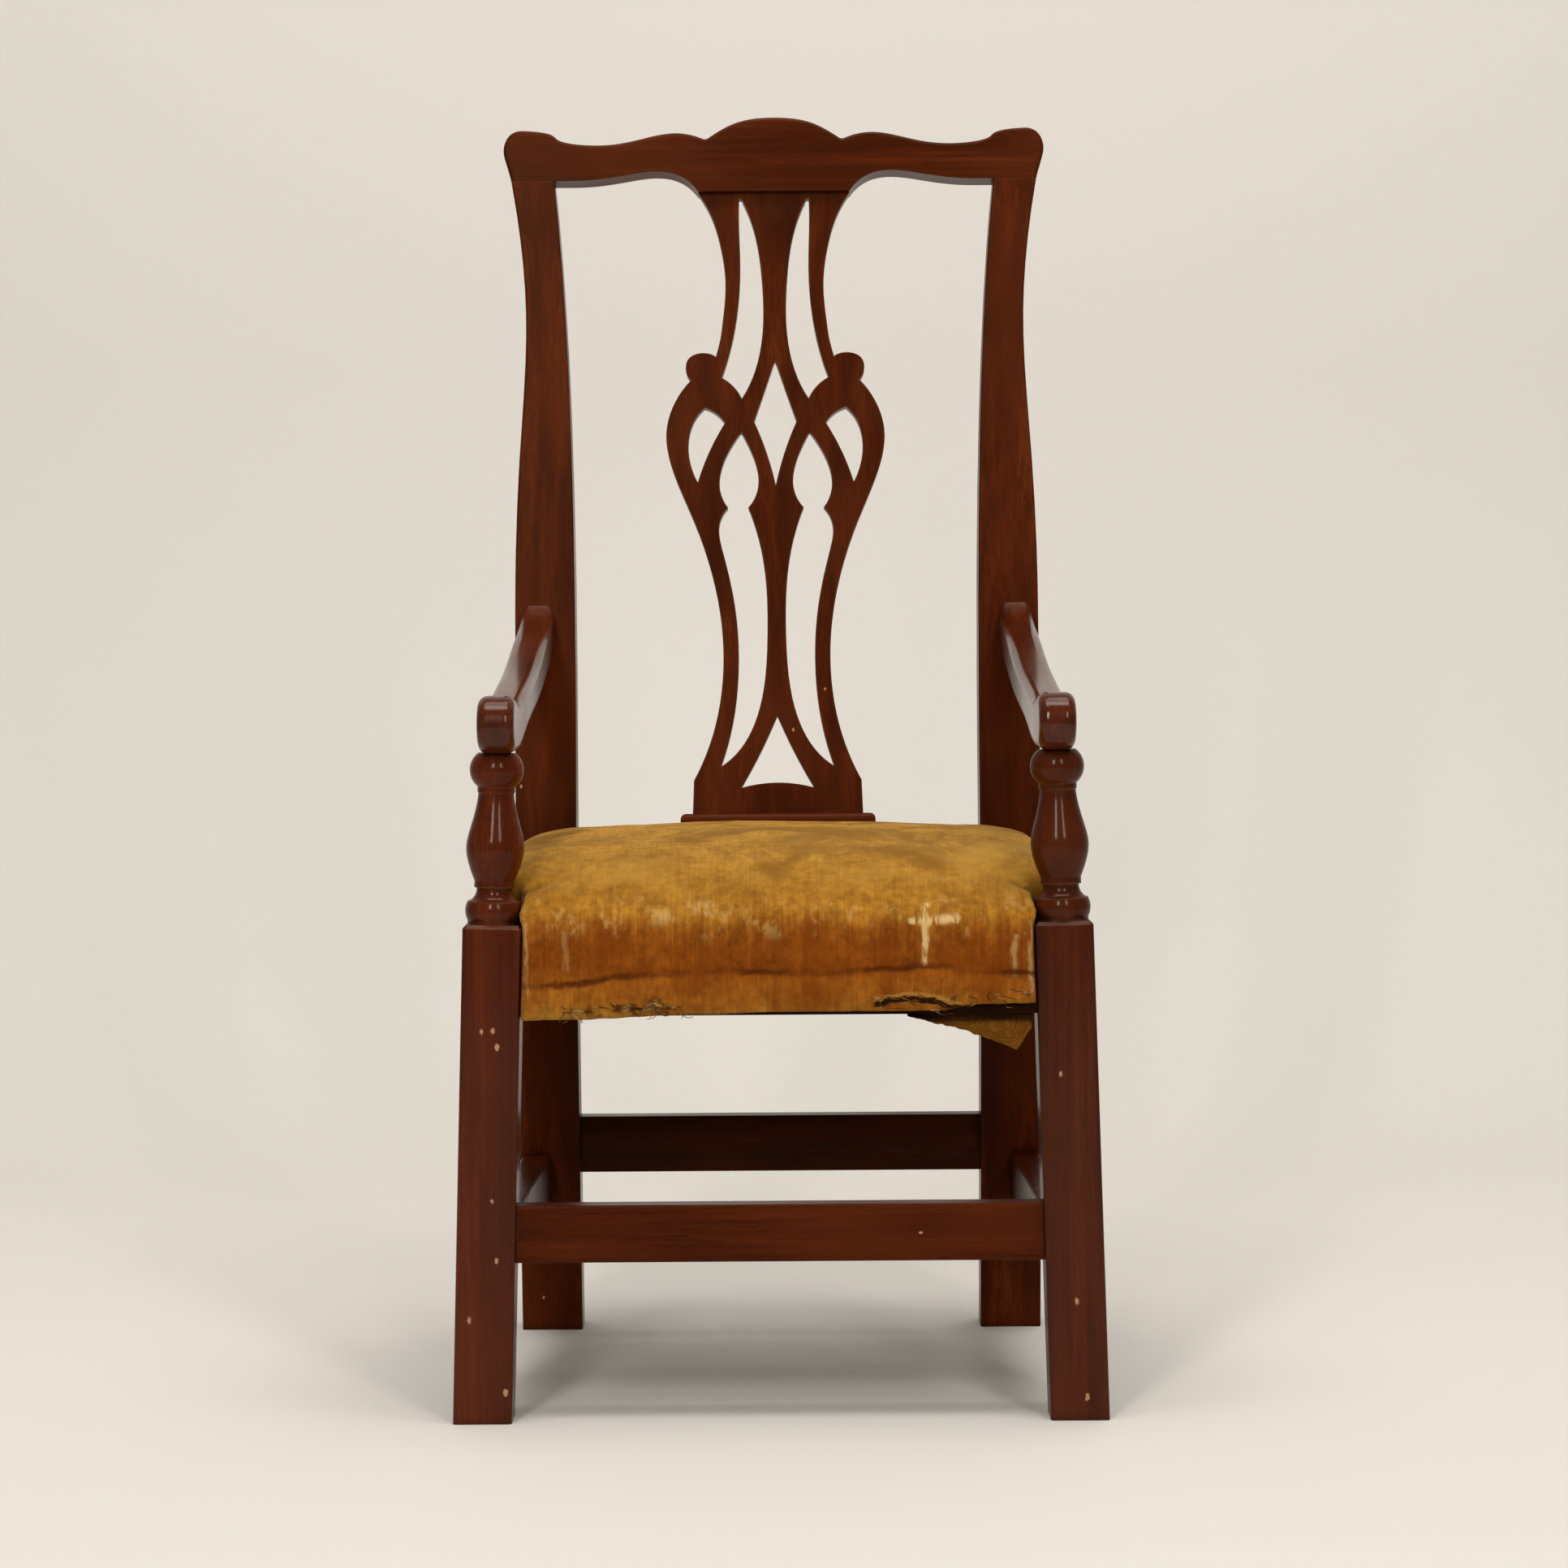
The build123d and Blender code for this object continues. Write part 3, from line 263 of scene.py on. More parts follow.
def mahogany(name, along, tone=1.0, polish=0.04, knocks=(), wear=0.75, grime_and_shade=0.78):
    """Polished mahogany with its grain along X, Y or Z (0, 1 or 2), knocks, worn edges, and corners darkened
    by grime and painted shade.
    """
    made, tree, shader = new_material(name)

    def with_grain(across, lengthwise):
        """A scale along each axis, with its own value along the grain."""
        return [lengthwise if axis == along else across for axis in range(3)]

    figure = grain_noise(tree, with_grain(48, 2.6), 5.0, 0.6, 0.6)
    streaks = grain_noise(tree, with_grain(420, 9), 3.0, 0.6)
    pores = grain_noise(tree, with_grain(1500, 70), 2.0, 0.5)
    patches = grain_noise(tree, with_grain(14, 7), 3.0, 0.5)
    colour = ramp(
        tree,
        figure,
        (0.28, (0.028 * tone, 0.0044 * tone, 0.0010 * tone)),
        (0.47, (0.056 * tone, 0.0088 * tone, 0.0018 * tone)),
        (0.60, (0.086 * tone, 0.0145 * tone, 0.0028 * tone)),
        (0.78, (0.125 * tone, 0.0250 * tone, 0.0050 * tone)),
    )
    streak_mask = remap(tree, streaks, 0.38, 0.66, 0.0, 0.55)
    colour = blend(tree, streak_mask, colour, (0.036 * tone, 0.0060 * tone, 0.0014 * tone, 1))
    pore_mask = remap(tree, pores, 0.60, 0.72, 0.0, 0.75)
    colour = blend(tree, pore_mask, colour, (0.016, 0.0042, 0.0016, 1))
    colour = blend(tree, remap(tree, patches, 0.42, 0.70, 0.0, 0.45), colour, (0.100, 0.0190, 0.0042, 1))

    geometry = add(tree, "NewGeometry")
    rounded = add(tree, "Bevel", {"Radius": 2.6 * MM}, samples=6).outputs["Normal"]
    facing = add(
        tree, "VectorMath", {0: rounded, 1: geometry.outputs["Normal"]}, operation="DOT_PRODUCT"
    ).outputs["Value"]
    edge = remap(tree, maths(tree, "SUBTRACT", 1.0, facing), 0.015, 0.16)
    rubbed = grain_noise(tree, (38, 38, 38), 5.0, 0.65)
    edge_wear = product(tree, edge, remap(tree, rubbed, 0.40, 0.66, 0.05, wear))
    colour = blend(tree, edge_wear, colour, (0.205, 0.088, 0.038, 1))

    # Occlusion darkens corners and joints: grime, plus painted shade where shade falls there.
    crevice = add(tree, "AmbientOcclusion", {"Distance": 9 * MM}, samples=6).outputs["AO"]
    grime_and_shade_mask = remap(tree, crevice, 0.30, 0.82, grime_and_shade, 0.0)
    colour = blend(tree, grime_and_shade_mask, colour, (0.010, 0.0042, 0.0022, 1))

    nick_cells = add(
        tree, "TexVoronoi", {"Vector": stretched(tree, with_grain(95, 60)), "Scale": 1.0, "Randomness": 1.0}
    )
    nick_chance = add(tree, "SeparateColor", {"Color": nick_cells.outputs["Color"]}).outputs["Red"]
    nick_shape = remap(tree, nick_cells.outputs["Distance"], 0.10, 0.055)
    nick = product(tree, nick_shape, remap(tree, nick_chance, 0.965, 0.975))
    coords = add(tree, "TexCoord").outputs["Object"]
    squeezed = add(tree, "Mapping", {"Vector": coords, "Scale": (1, 1, knock_squeeze)}).outputs["Vector"]
    chips = grain_noise(tree, (700, 700, 500), 3.0, 0.6)
    for x, z, size in knocks:
        centre = (x * MM, front_y, knock_squeeze * z * MM)
        away = add(tree, "VectorMath", {0: squeezed, 1: centre}, operation="DISTANCE").outputs["Value"]
        away = maths(tree, "MULTIPLY_ADD", chips, 2.4 * MM, away)
        knock = remap(tree, away, (size + 1.5) * MM, (size + 0.7) * MM)
        nick = maths(tree, "MAXIMUM", nick, knock)
    colour = blend(tree, nick, colour, (0.42, 0.22, 0.12, 1))
    gloss = remap(tree, patches, 0.35, 0.70, 0.24, 0.40)
    rough = maths(tree, "ADD", gloss, maths(tree, "MULTIPLY", maths(tree, "ADD", edge_wear, nick), 0.22))

    wavy = grain_noise(tree, with_grain(30, 8), 2.0, 0.5)
    height = maths(tree, "ADD", maths(tree, "MULTIPLY", pore_mask, -0.35), maths(tree, "MULTIPLY", wavy, 0.6))
    height = maths(tree, "SUBTRACT", height, nick)
    softened = add(tree, "Bevel", {"Radius": 1.2 * MM}, samples=6).outputs["Normal"]
    bump = add(tree, "Bump", {"Strength": 0.22, "Distance": 0.3 * MM, "Height": height, "Normal": softened})
    look = {
        "Base Color": colour,
        "Roughness": rough,
        "Specular IOR Level": 0.05,
        "Specular Tint": (1.0, 0.60, 0.30, 1),
        "Coat Weight": polish,
        "Coat Roughness": 0.13,
        "Normal": bump.outputs["Normal"],
    }
    fill(tree, shader, look)
    return made


# Knocks on the front of the legs: across and height in millimetres, and the size of the mark
leg_knocks = (
    (-175, 233, 1.0),
    (-168.5, 233.5, 1.1),
    (-166, 224, 1.3),
    (-170, 133, 0.9),
    (-167.5, 97.5, 1.1),
    (-163, 19, 1.5),
    (-184, 62, 1.2),
    (175, 71, 1.2),
    (166, 206, 0.8),
    (181, 14, 1.3),
)
knocks_left = [knock for knock in leg_knocks if knock[0] < 0]
knocks_right = [knock for knock in leg_knocks if knock[0] > 0]
# The left front leg is lightened and the right one darkened: painted light and shade, as the light falls more
# on the left.
mahogany_leg_left_lit = mahogany("mahogany_leg_left_lit", 2, 1.36, 0.22, knocks_left)
mahogany_leg_right_shaded = mahogany("mahogany_leg_right_shaded", 2, 0.78, 0.22, knocks_right)
mahogany_across = mahogany("mahogany_across", 0)
mahogany_crest = mahogany("mahogany_crest", 0, wear=0.15, grime_and_shade=0.2)
mahogany_splat = mahogany("mahogany_splat", 2, wear=0.3, grime_and_shade=0.2)
mahogany_post = mahogany("mahogany_post", 2, wear=0.4, grime_and_shade=0.5)
mahogany_shaded = mahogany("mahogany_shaded", 0, 0.6)
# The side stretchers are darkened a little as painted shade.
mahogany_lengthwise_shaded = mahogany("mahogany_lengthwise_shaded", 1, 0.8)
mahogany_arm = mahogany("mahogany_arm", 1, 1.0, 0.5)
mahogany_shoe = mahogany("mahogany_shoe", 0, 1.25)


def dress(names, finish):
    """Gives pieces of the measured model their finish."""
    for name in names:
        slots = nodes[name].data.materials
        slots.clear()
        slots.append(finish)


pair = ("left", "right")
dress(["front_leg_left"], mahogany_leg_left_lit)
dress(["front_leg_right"], mahogany_leg_right_shaded)
dress([f"back_post_{side}" for side in pair], mahogany_post)
dress(["splat"], mahogany_splat)
dress(["crest_rail"], mahogany_crest)
dress(["stretcher_front"], mahogany_across)
dress(["stretcher_rear"], mahogany_shaded)
dress([f"stretcher_{side}" for side in pair], mahogany_lengthwise_shaded)
dress([f"arm_{side}" for side in pair], mahogany_arm)
dress(["splat_shoe"], mahogany_shoe)

# %% [markdown]
# ## Frame wood
# The seat rails and corner blocks are beech and were never polished. They are seen only from below and
# through the tear, so a dry brown with rough saw marks is enough.

# %% Frame wood


def frame_wood(name, along, tone=1.0, shine=0.2):
    """Dry old beech, darkened by age and dust; a tone below 1 darkens it further with painted shade."""
    made, tree, shader = new_material(name)
    scale = [6 if axis == along else 120 for axis in range(3)]
    grain = grain_noise(tree, scale, 4.0, 0.6, 0.3)
    dust = grain_noise(tree, (26, 26, 26), 4.0, 0.6)
    colour = ramp(tree, grain, (0.3, (0.050, 0.026, 0.013)), (0.7, (0.120, 0.066, 0.034)))
    colour = blend(tree, remap(tree, dust, 0.45, 0.7, 0.0, 0.5), colour, (0.16, 0.11, 0.07, 1))
    colour = blend(tree, 1.0, colour, (tone, tone**1.25, tone**1.4, 1), "MULTIPLY")
    bump = add(tree, "Bump", {"Strength": 0.5, "Distance": 0.5 * MM, "Height": grain}).outputs["Normal"]
    fill(tree, shader, {"Base Color": colour, "Roughness": 0.8, "Specular IOR Level": shine, "Normal": bump})
    return made


beech_across = frame_wood("beech_across", 0)
beech_lengthwise = frame_wood("beech_lengthwise", 1)
# The front rail is made near black and without shine: grime, plus painted shade for the hollow under the torn
# cover.
beech_grimy_and_shaded = frame_wood("beech_grimy_and_shaded", 0, 0.16, 0.0)
dress(["seat_rail_front"], beech_grimy_and_shaded)
dress(["seat_rail_rear"], beech_across)
dress([f"seat_rail_{side}" for side in pair], beech_lengthwise)
dress([f"corner_block_{end}_{side}" for end in ("front", "rear") for side in pair], beech_across)

# %% [markdown]
# ## The stuffed seat
# Horsehair under velvet makes a low dome that rolls over at the front edge and is pulled down hard round the
# legs. A cube is shaped to that dome, cut round the legs and posts, and remeshed so that cloth can move
# evenly. Then a cloth simulation swells it like stuffing, and a limit keeps it near the measured seat.

# %% Seat: the dome
tenon = 14 * MM
rail_low, rail_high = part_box("seat_rail_front")
leg_inner = rail_high.x - tenon
leg_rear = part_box("front_leg_left")[1].y
post_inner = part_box("seat_rail_rear")[1].x - tenon
post_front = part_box("seat_rail_left")[1].y - tenon
cover_low, cover_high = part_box("seat_cover")
leg_splay = math.radians(1.68)
notch_gap = 0.4 * MM
cover_half_front = cover_high.x + 1.4 * MM
cover_half_rear = cover_half_front - 12 * MM
seat_crown = cover_high.z
shoulder_width = 30 * MM
crown_rise = 4 * MM
# Depth behind the legs' front, then how far the shoulder and the crown lie below the top of the seat
seat_stations = (
    (-2.5, 54, 42),
    (8, 54, 30),
    (26, 54, 19.5),
    (59, 54, 10),
    (120, 53, 3),
    (182, 52, 0),
    (243, 51, 1.2),
    (304.4, 50, 5),
)


def along_stations(depth, column):
    """A smooth curve through one column of the seat's stations."""
    places = [row[0] * MM for row in seat_stations]
    values = [row[column] * MM for row in seat_stations]
    last = len(places) - 1
    index = next((i for i in range(last) if depth <= places[i + 1]), last - 1)
    spans = [(max(i - 1, 0), min(i + 1, last)) for i in range(last + 1)]
    slopes = [(values[b] - values[a]) / (places[b] - places[a]) for a, b in spans]
    gap = places[index + 1] - places[index]
    t = min(max((depth - places[index]) / gap, 0), 1)
    near = (1 + 2 * t) * (1 - t) ** 2 * values[index] + t * (1 - t) ** 2 * gap * slopes[index]
    far = t * t * (3 - 2 * t) * values[index + 1] + t * t * (t - 1) * gap * slopes[index + 1]
    return near + far


def seat_half(depth):
    """Half width of the seat at a depth behind the legs' front."""
    return cover_half_front + (cover_half_rear - cover_half_front) * depth / (post_front - front_y)


def seat_height(x, depth):
    """Height of the seat's top over the floor."""
    half = seat_half(depth)
    shoulder = seat_crown - along_stations(depth, 1)
    crown = seat_crown - along_stations(depth, 2)
    inner = half - shoulder_width
    if abs(x) <= inner:
        return crown - crown_rise * (x / inner) ** 2
    t = min((abs(x) - inner) / shoulder_width, 1)
    edge = crown - crown_rise
    return edge - (edge - shoulder) * (1 - math.sqrt(1 - t * t))


def block(name, low, high, turn=0.0):
    """A box between two corners, turned about Y through its middle."""
    bpy.ops.object.select_all(action="DESELECT")
    middle = [(a + b) / 2 for a, b in zip(low, high)]
    bpy.ops.mesh.primitive_cube_add(size=1, location=middle, rotation=(0, turn, 0))
    made = bpy.context.object
    made.name = name
    made.scale = [b - a for a, b in zip(low, high)]
    bpy.ops.object.transform_apply(location=True, rotation=True, scale=True)
    return made


def apply_modifiers(piece):
    """Applies every modifier on a piece, in order."""
    only(piece)
    for modifier in list(piece.modifiers):
        bpy.ops.object.modifier_apply(modifier=modifier.name)


pad = block("velvet_seat", (-0.5, -0.5, -0.5), (0.5, 0.5, 0.5))
bpy.ops.object.mode_set(mode="EDIT")
bpy.ops.mesh.select_all(action="SELECT")
bpy.ops.mesh.subdivide(number_cuts=48)
bpy.ops.object.mode_set(mode="OBJECT")
for vertex in pad.data.vertices:
    u, v, w = vertex.co
    depth = cover_low.y - front_y + (v + 0.5) * (cover_high.y - cover_low.y)
    x = 2 * u * seat_half(depth)
    top = seat_height(x, depth)
    vertex.co = (x, front_y + depth, cover_low.z + (w + 0.5) * (top - cover_low.z))

rail_middle = (rail_low.z + rail_high.z) / 2
cutter_size = 90 * MM
cutters = []
for side in (-1, 1):
    leg_face = side * (leg_inner - notch_gap)
    leg_corners = sorted((leg_face, leg_face + side * cutter_size))
    cutters.append(
        block(
            "leg_cutter",
            (leg_corners[0], front_y - cutter_size, rail_middle - cutter_size),
            (leg_corners[1], leg_rear + notch_gap, rail_middle + cutter_size),
            -side * leg_splay,
        )
    )
    post_face = side * (post_inner - notch_gap)
    post_corners = sorted((post_face, post_face + side * cutter_size))
    cutters.append(
        block(
            "post_cutter",
            (post_corners[0], post_front - notch_gap, rail_middle - cutter_size),
            (post_corners[1], post_front + cutter_size, rail_middle + cutter_size),
        )
    )
for cutter in cutters:
    cut = pad.modifiers.new("cut", "BOOLEAN")
    cut.operation = "DIFFERENCE"
    cut.object = cutter
apply_modifiers(pad)
for cutter in cutters:
    bpy.data.objects.remove(cutter)
print("dome:", len(pad.data.polygons), "faces")

# %% [markdown]
# An even mesh lets the cloth move evenly. The dome is first drawn in a little, then the pressure of the
# stuffing blows it out again while its lower edge stays tacked.

# %% Seat: swell it like stuffing
voxel = 4.4 * MM
swell_room = 2.2 * MM
swell_limit = 1.5 * MM
swell_frames = 20
swell_pressure = 4
tacked_height = 14 * MM
rail_top = rail_high.z

remesh = pad.modifiers.new("remesh", "REMESH")
remesh.mode = "VOXEL"
remesh.voxel_size = voxel
smooth = pad.modifiers.new("smooth", "SMOOTH")
smooth.factor = 0.5
smooth.iterations = 3
apply_modifiers(pad)
rest = [vertex.co.copy() for vertex in pad.data.vertices]
for vertex in pad.data.vertices:
    if vertex.co.z > rail_top:
        vertex.co -= vertex.normal * swell_room

tacked = pad.vertex_groups.new(name="tacked")
tacked.add([v.index for v in pad.data.vertices if v.co.z < cover_low.z + tacked_height], 1.0, "REPLACE")
cloth = pad.modifiers.new("stuffing", "CLOTH")
cloth.settings.use_pressure = True
cloth.settings.uniform_pressure_force = swell_pressure
cloth.settings.vertex_group_mass = "tacked"
cloth.settings.effector_weights.gravity = 0
for step in range(1, swell_frames + 1):
    bpy.context.scene.frame_set(step)
apply_modifiers(pad)
bpy.context.scene.frame_set(1)

longest = 0.0
for vertex, start in zip(pad.data.vertices, rest):
    move = vertex.co - start
    longest = max(longest, move.length)
    if move.length > swell_limit:
        vertex.co = start + move * (swell_limit / move.length)
print("seat swelled by up to", round(longest / MM, 1), "mm before its limit")

# %% [markdown]
# The work comes after the simulation: soft dents, the long crease across the front where the velvet
# has settled on the rail, the tucks where it is pulled round the posts, and an uneven lower edge.

# %% Seat: creases, tucks and edge


def hollow(place, start, end, width):
    """How deep a point lies in a crease along a line, from 0 to 1, fading at its ends."""
    line = end - start
    share = min(max((place - start).dot(line) / line.length_squared, 0), 1)
    away = (place - (start + line * share)).length
    return math.exp(-((away / width) ** 2)) * math.sin(math.pi * (0.12 + 0.76 * share))


front_face = cover_low.y


def level(points, x):
    """Height of a line drawn through points across the front, in metres."""
    for (x0, z0), (x1, z1) in zip(points, points[1:]):
        if x <= x1 * MM:
            share = min(max((x / MM - x0) / (x1 - x0), 0), 1)
            share = share * share * (3 - 2 * share)
            return (z0 + (z1 - z0) * share) * MM
    return points[-1][1] * MM


# Across the front in millimetres: the long crease, the slit over the tear, how far the skirt is pulled up or
# down, and the line of its lower edge
front_crease = (
    (-150, 259.4), (-137, 260), (-80, 267), (-27, 268.4), (20, 267),
    (68, 268.4), (82, 272), (106, 268.4), (150, 265.4),
)
slit = ((56, 248), (65, 250.2), (78, 251), (92, 249.2), (108, 246.2))
edge_lift = ((-152, -3.4), (-60, -3.0), (-20, -2.4), (60, -2.2), (102, -1.8), (110, 1.6), (152, 2.4))
lower_edge = (
    (-152, 239.8), (-120, 240.2), (-50, 242.8), (0, 244.0),
    (60, 244.0), (100, 244.2), (112, 247.6), (152, 248.2),
)
crease_width = 2.9 * MM
crease_depth = 3.4 * MM
slit_width = 2.5 * MM
slit_depth = 1.8 * MM
skirt_height = 26 * MM
skirt_depth = 10 * MM
skirt_bulge = 1.9 * MM
rim_height = 16 * MM
front_reach = 8 * MM
broad_dent = 1.5 * MM
small_dent = 0.7 * MM
skin_clear = 1.1 * MM

# How far in and up each tuck at a leg runs, and its depth, in millimetres
corner_tucks = ((34, 8, 2.6), (20, 20, 2.0), (48, -4, 1.6))
tucks = []
for side in (-1, 1):
    for reach, rise, depth in corner_tucks:
        start = Vector((side * (leg_inner - 1 * MM), leg_rear - 12 * MM, seat_crown - 30 * MM))
        end = start + Vector((-side * reach * MM, (10 + reach) * 0.5 * MM, rise * MM))
        tucks.append((start, end, 5 * MM, depth * MM))
    start = Vector((side * (leg_inner - 7 * MM), front_face, 300 * MM))
    end = Vector((side * (leg_inner - 13 * MM), front_face, 258 * MM))
    tucks.append((start, end, 3.6 * MM, 1.3 * MM))

# This attribute holds painted shade in the tucks and along the front crease; the velvet is darkened by it.
crease_shade = pad.data.attributes.new("crease_shade", "FLOAT", "POINT")
normals = [vertex.normal.copy() for vertex in pad.data.vertices]
for index, normal in enumerate(normals):
    place = pad.data.vertices[index].co.copy()
    dent = broad_dent * noise.noise(place * 17) + small_dent * noise.noise(place * 48)
    if place.z < rail_top - 6 * MM:
        dent *= 0.35
    for start, end, width, depth in tucks:
        if (place - start).length < (end - start).length + 4 * width:
            fold = hollow(place, start, end, width)
            dent -= depth * fold
            crease_shade.data[index].value += 0.5 * fold
    if place.y < front_face + front_reach and normal.y < -0.4:
        uneven = 0.75 + 0.6 * noise.noise(Vector((place.x * 30, 3.0, 7.0)))
        away = (place.z - level(front_crease, place.x)) / crease_width
        dent += skirt_bulge - crease_depth * uneven * math.exp(-(away**2))
        crease_shade.data[index].value += uneven * math.exp(-((away * 1.3) ** 2))
        if slit[0][0] * MM < place.x < slit[-1][0] * MM:
            away = (place.z - level(slit, place.x)) / slit_width
            dent -= slit_depth * math.exp(-(away**2))
    place += normal * dent
    if place.y < front_face + skirt_depth and place.z < cover_low.z + skirt_height:
        fade = 1 - (place.z - cover_low.z) / skirt_height
        ragged = 0.8 * MM * noise.noise(Vector((place.x * 160, 1.0, 5.0)))
        place.z += (level(edge_lift, place.x) + ragged) * fade**2
    pad.data.vertices[index].co = place


leg_half = (leg_rear - front_y) / 2
square_top = rail_top + 8 * MM
ring_clear = 17.4 * MM
ring_bulge = 2.6 * MM
cover_proud = 2.8 * MM
draw_in = 5 * MM
rail_reach = 6 * MM
rail_over = rail_top + 2 * MM
sideways, leaning = 0.55, 0.3


def settle(place, normal):
    """Draws a point of the seat's corners up to the faces of the legs and posts, and out of the wood."""
    side = 1 if place.x > 0 else -1
    leg_face = leg_inner + (rail_middle - place.z) * math.tan(leg_splay) - notch_gap
    leg_back = leg_rear + notch_gap
    if place.z > square_top:
        from_axis = place.y - (front_y + leg_rear) / 2
        room = leg_half - math.sqrt(max(ring_clear**2 - from_axis**2, 0))
        leg_face += min(room, ring_bulge * min((place.z - square_top) / ring_bulge, 1))
    beside = abs(place.x) - leg_face
    before = leg_back - place.y
    if beside > -draw_in and before > 0 and abs(normal.x) > sideways and beside < before:
        place.x = side * leg_face
    elif before > -draw_in and beside > 0 and normal.y < -sideways:
        place.y = leg_back
    post_face = post_inner - notch_gap
    post_back = post_front - notch_gap
    beside = abs(place.x) - post_face
    behind = place.y - post_back
    if beside > -draw_in and behind > 0 and beside < behind:
        place.x = side * post_face
    elif behind > -draw_in and beside > 0 and normal.y > leaning:
        place.y = post_back
    in_front = abs(place.x) < leg_face + notch_gap and place.y < rail_low.y + rail_reach
    if in_front and normal.y < -leaning and place.z < rail_over:
        place.y = min(place.y, rail_low.y - skin_clear)
    if leg_back < place.y < post_back and abs(normal.x) > leaning and place.z < rail_over:
        rail_face = seat_half(place.y - front_y) - cover_proud + skin_clear
        place.x = side * max(abs(place.x), rail_face)
    return place


pad.data.update()
normals = [vertex.normal.copy() for vertex in pad.data.vertices]
for vertex, normal in zip(pad.data.vertices, normals):
    vertex.co = settle(vertex.co.copy(), normal)

# %% [markdown]
# The cover is open underneath, where the webbing shows. The faces under the rails and between the rails and
# the legs are deleted, and the front rim is drawn to its line. One subdivision rounds the cloth, and a
# thickness is added on the inside, which gets the plain back of the velvet as its own material.

# %% Seat: open the underside and give the velvet its thickness
velvet_thickness = 1.6 * MM
leg_end = leg_rear + 2 * MM
leg_side = leg_inner - 3 * MM
post_start = post_front - 2 * MM
facing_down = -0.55
for element in (*pad.data.vertices, *pad.data.edges, *pad.data.polygons):
    element.select = False
for face in pad.data.polygons:
    middle = face.center
    low = middle.z < rail_top
    by_leg = front_face + front_reach < middle.y < leg_end and abs(middle.x) > leg_side
    by_post = middle.y > post_start
    face.select = low and (face.normal.z < facing_down or by_leg or by_post)
bpy.ops.object.mode_set(mode="EDIT")
bpy.ops.mesh.select_mode(type="FACE")
bpy.ops.mesh.delete(type="FACE")
bpy.ops.object.mode_set(mode="OBJECT")
borders = {}
for face in pad.data.polygons:
    for key in face.edge_keys:
        borders[key] = borders.get(key, 0) + 1
rim = {index for key, count in borders.items() if count == 1 for index in key}
for index in rim:
    place = pad.data.vertices[index].co
    if place.y < front_face + skirt_depth and place.z < cover_low.z + rim_height:
        ragged = 0.5 * MM * noise.noise(Vector((place.x * 120, 1.0, 5.0)))
        place.z = level(lower_edge, place.x) + ragged
round_off = pad.modifiers.new("round_off", "SUBSURF")
round_off.levels = 1
round_off.render_levels = 1
thicken = pad.modifiers.new("thicken", "SOLIDIFY")
thicken.thickness = velvet_thickness
thicken.offset = -1
thicken.material_offset = 1
for _ in range(2):
    pad.data.materials.append(None)
apply_modifiers(pad)
bpy.ops.object.shade_smooth()
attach(pad, "root")
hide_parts("seat_cover", "seat_stuffing")
print("seat:", len(pad.data.polygons), "faces")

# %% [markdown]
# ## Worn velvet
# The pile has gone in lines that run from back to front and down the face. The top has faded to a dull
# gold, a rust band shows under the front edge where the pile is left, and the lowest strip is rubbed pale
# again. Colour follows height, then streaks, stains and a few named worn marks break it up. Painted shade
# darkens the creases, the tucks, the corners and the slit.

# %% Velvet


def between_marks(tree, value, low, high, soft):
    """A mask that is 1 between two values and fades out over a soft edge."""
    rise = remap(tree, value, low - soft, low + soft)
    fall = remap(tree, value, high + soft, high - soft)
    return product(tree, rise, fall)


def remap_line(tree, value, low, high):
    """Share of the way from one value to another, kept between 0 and 1."""
    return maths(tree, "DIVIDE", maths(tree, "SUBTRACT", value, low), high - low, clamp=True)


def line_height(tree, x, points):
    """Height of a line drawn through points in millimetres across the front, as a socket."""
    left, right = points[0][0], points[-1][0]
    low = min(z for _, z in points)
    rise = max(z for _, z in points) - low
    share = remap_line(tree, x, left * MM, right * MM)
    stops = [((px - left) / (right - left), ((pz - low) / rise,) * 3) for px, pz in points]
    return maths(tree, "MULTIPLY_ADD", ramp(tree, share, *stops), rise * MM, low * MM)


plain = (1.0, 1.0, 1.0)
top_from, top_to = 305 * MM, 325 * MM
edge_from, edge_to = 289 * MM, 311 * MM


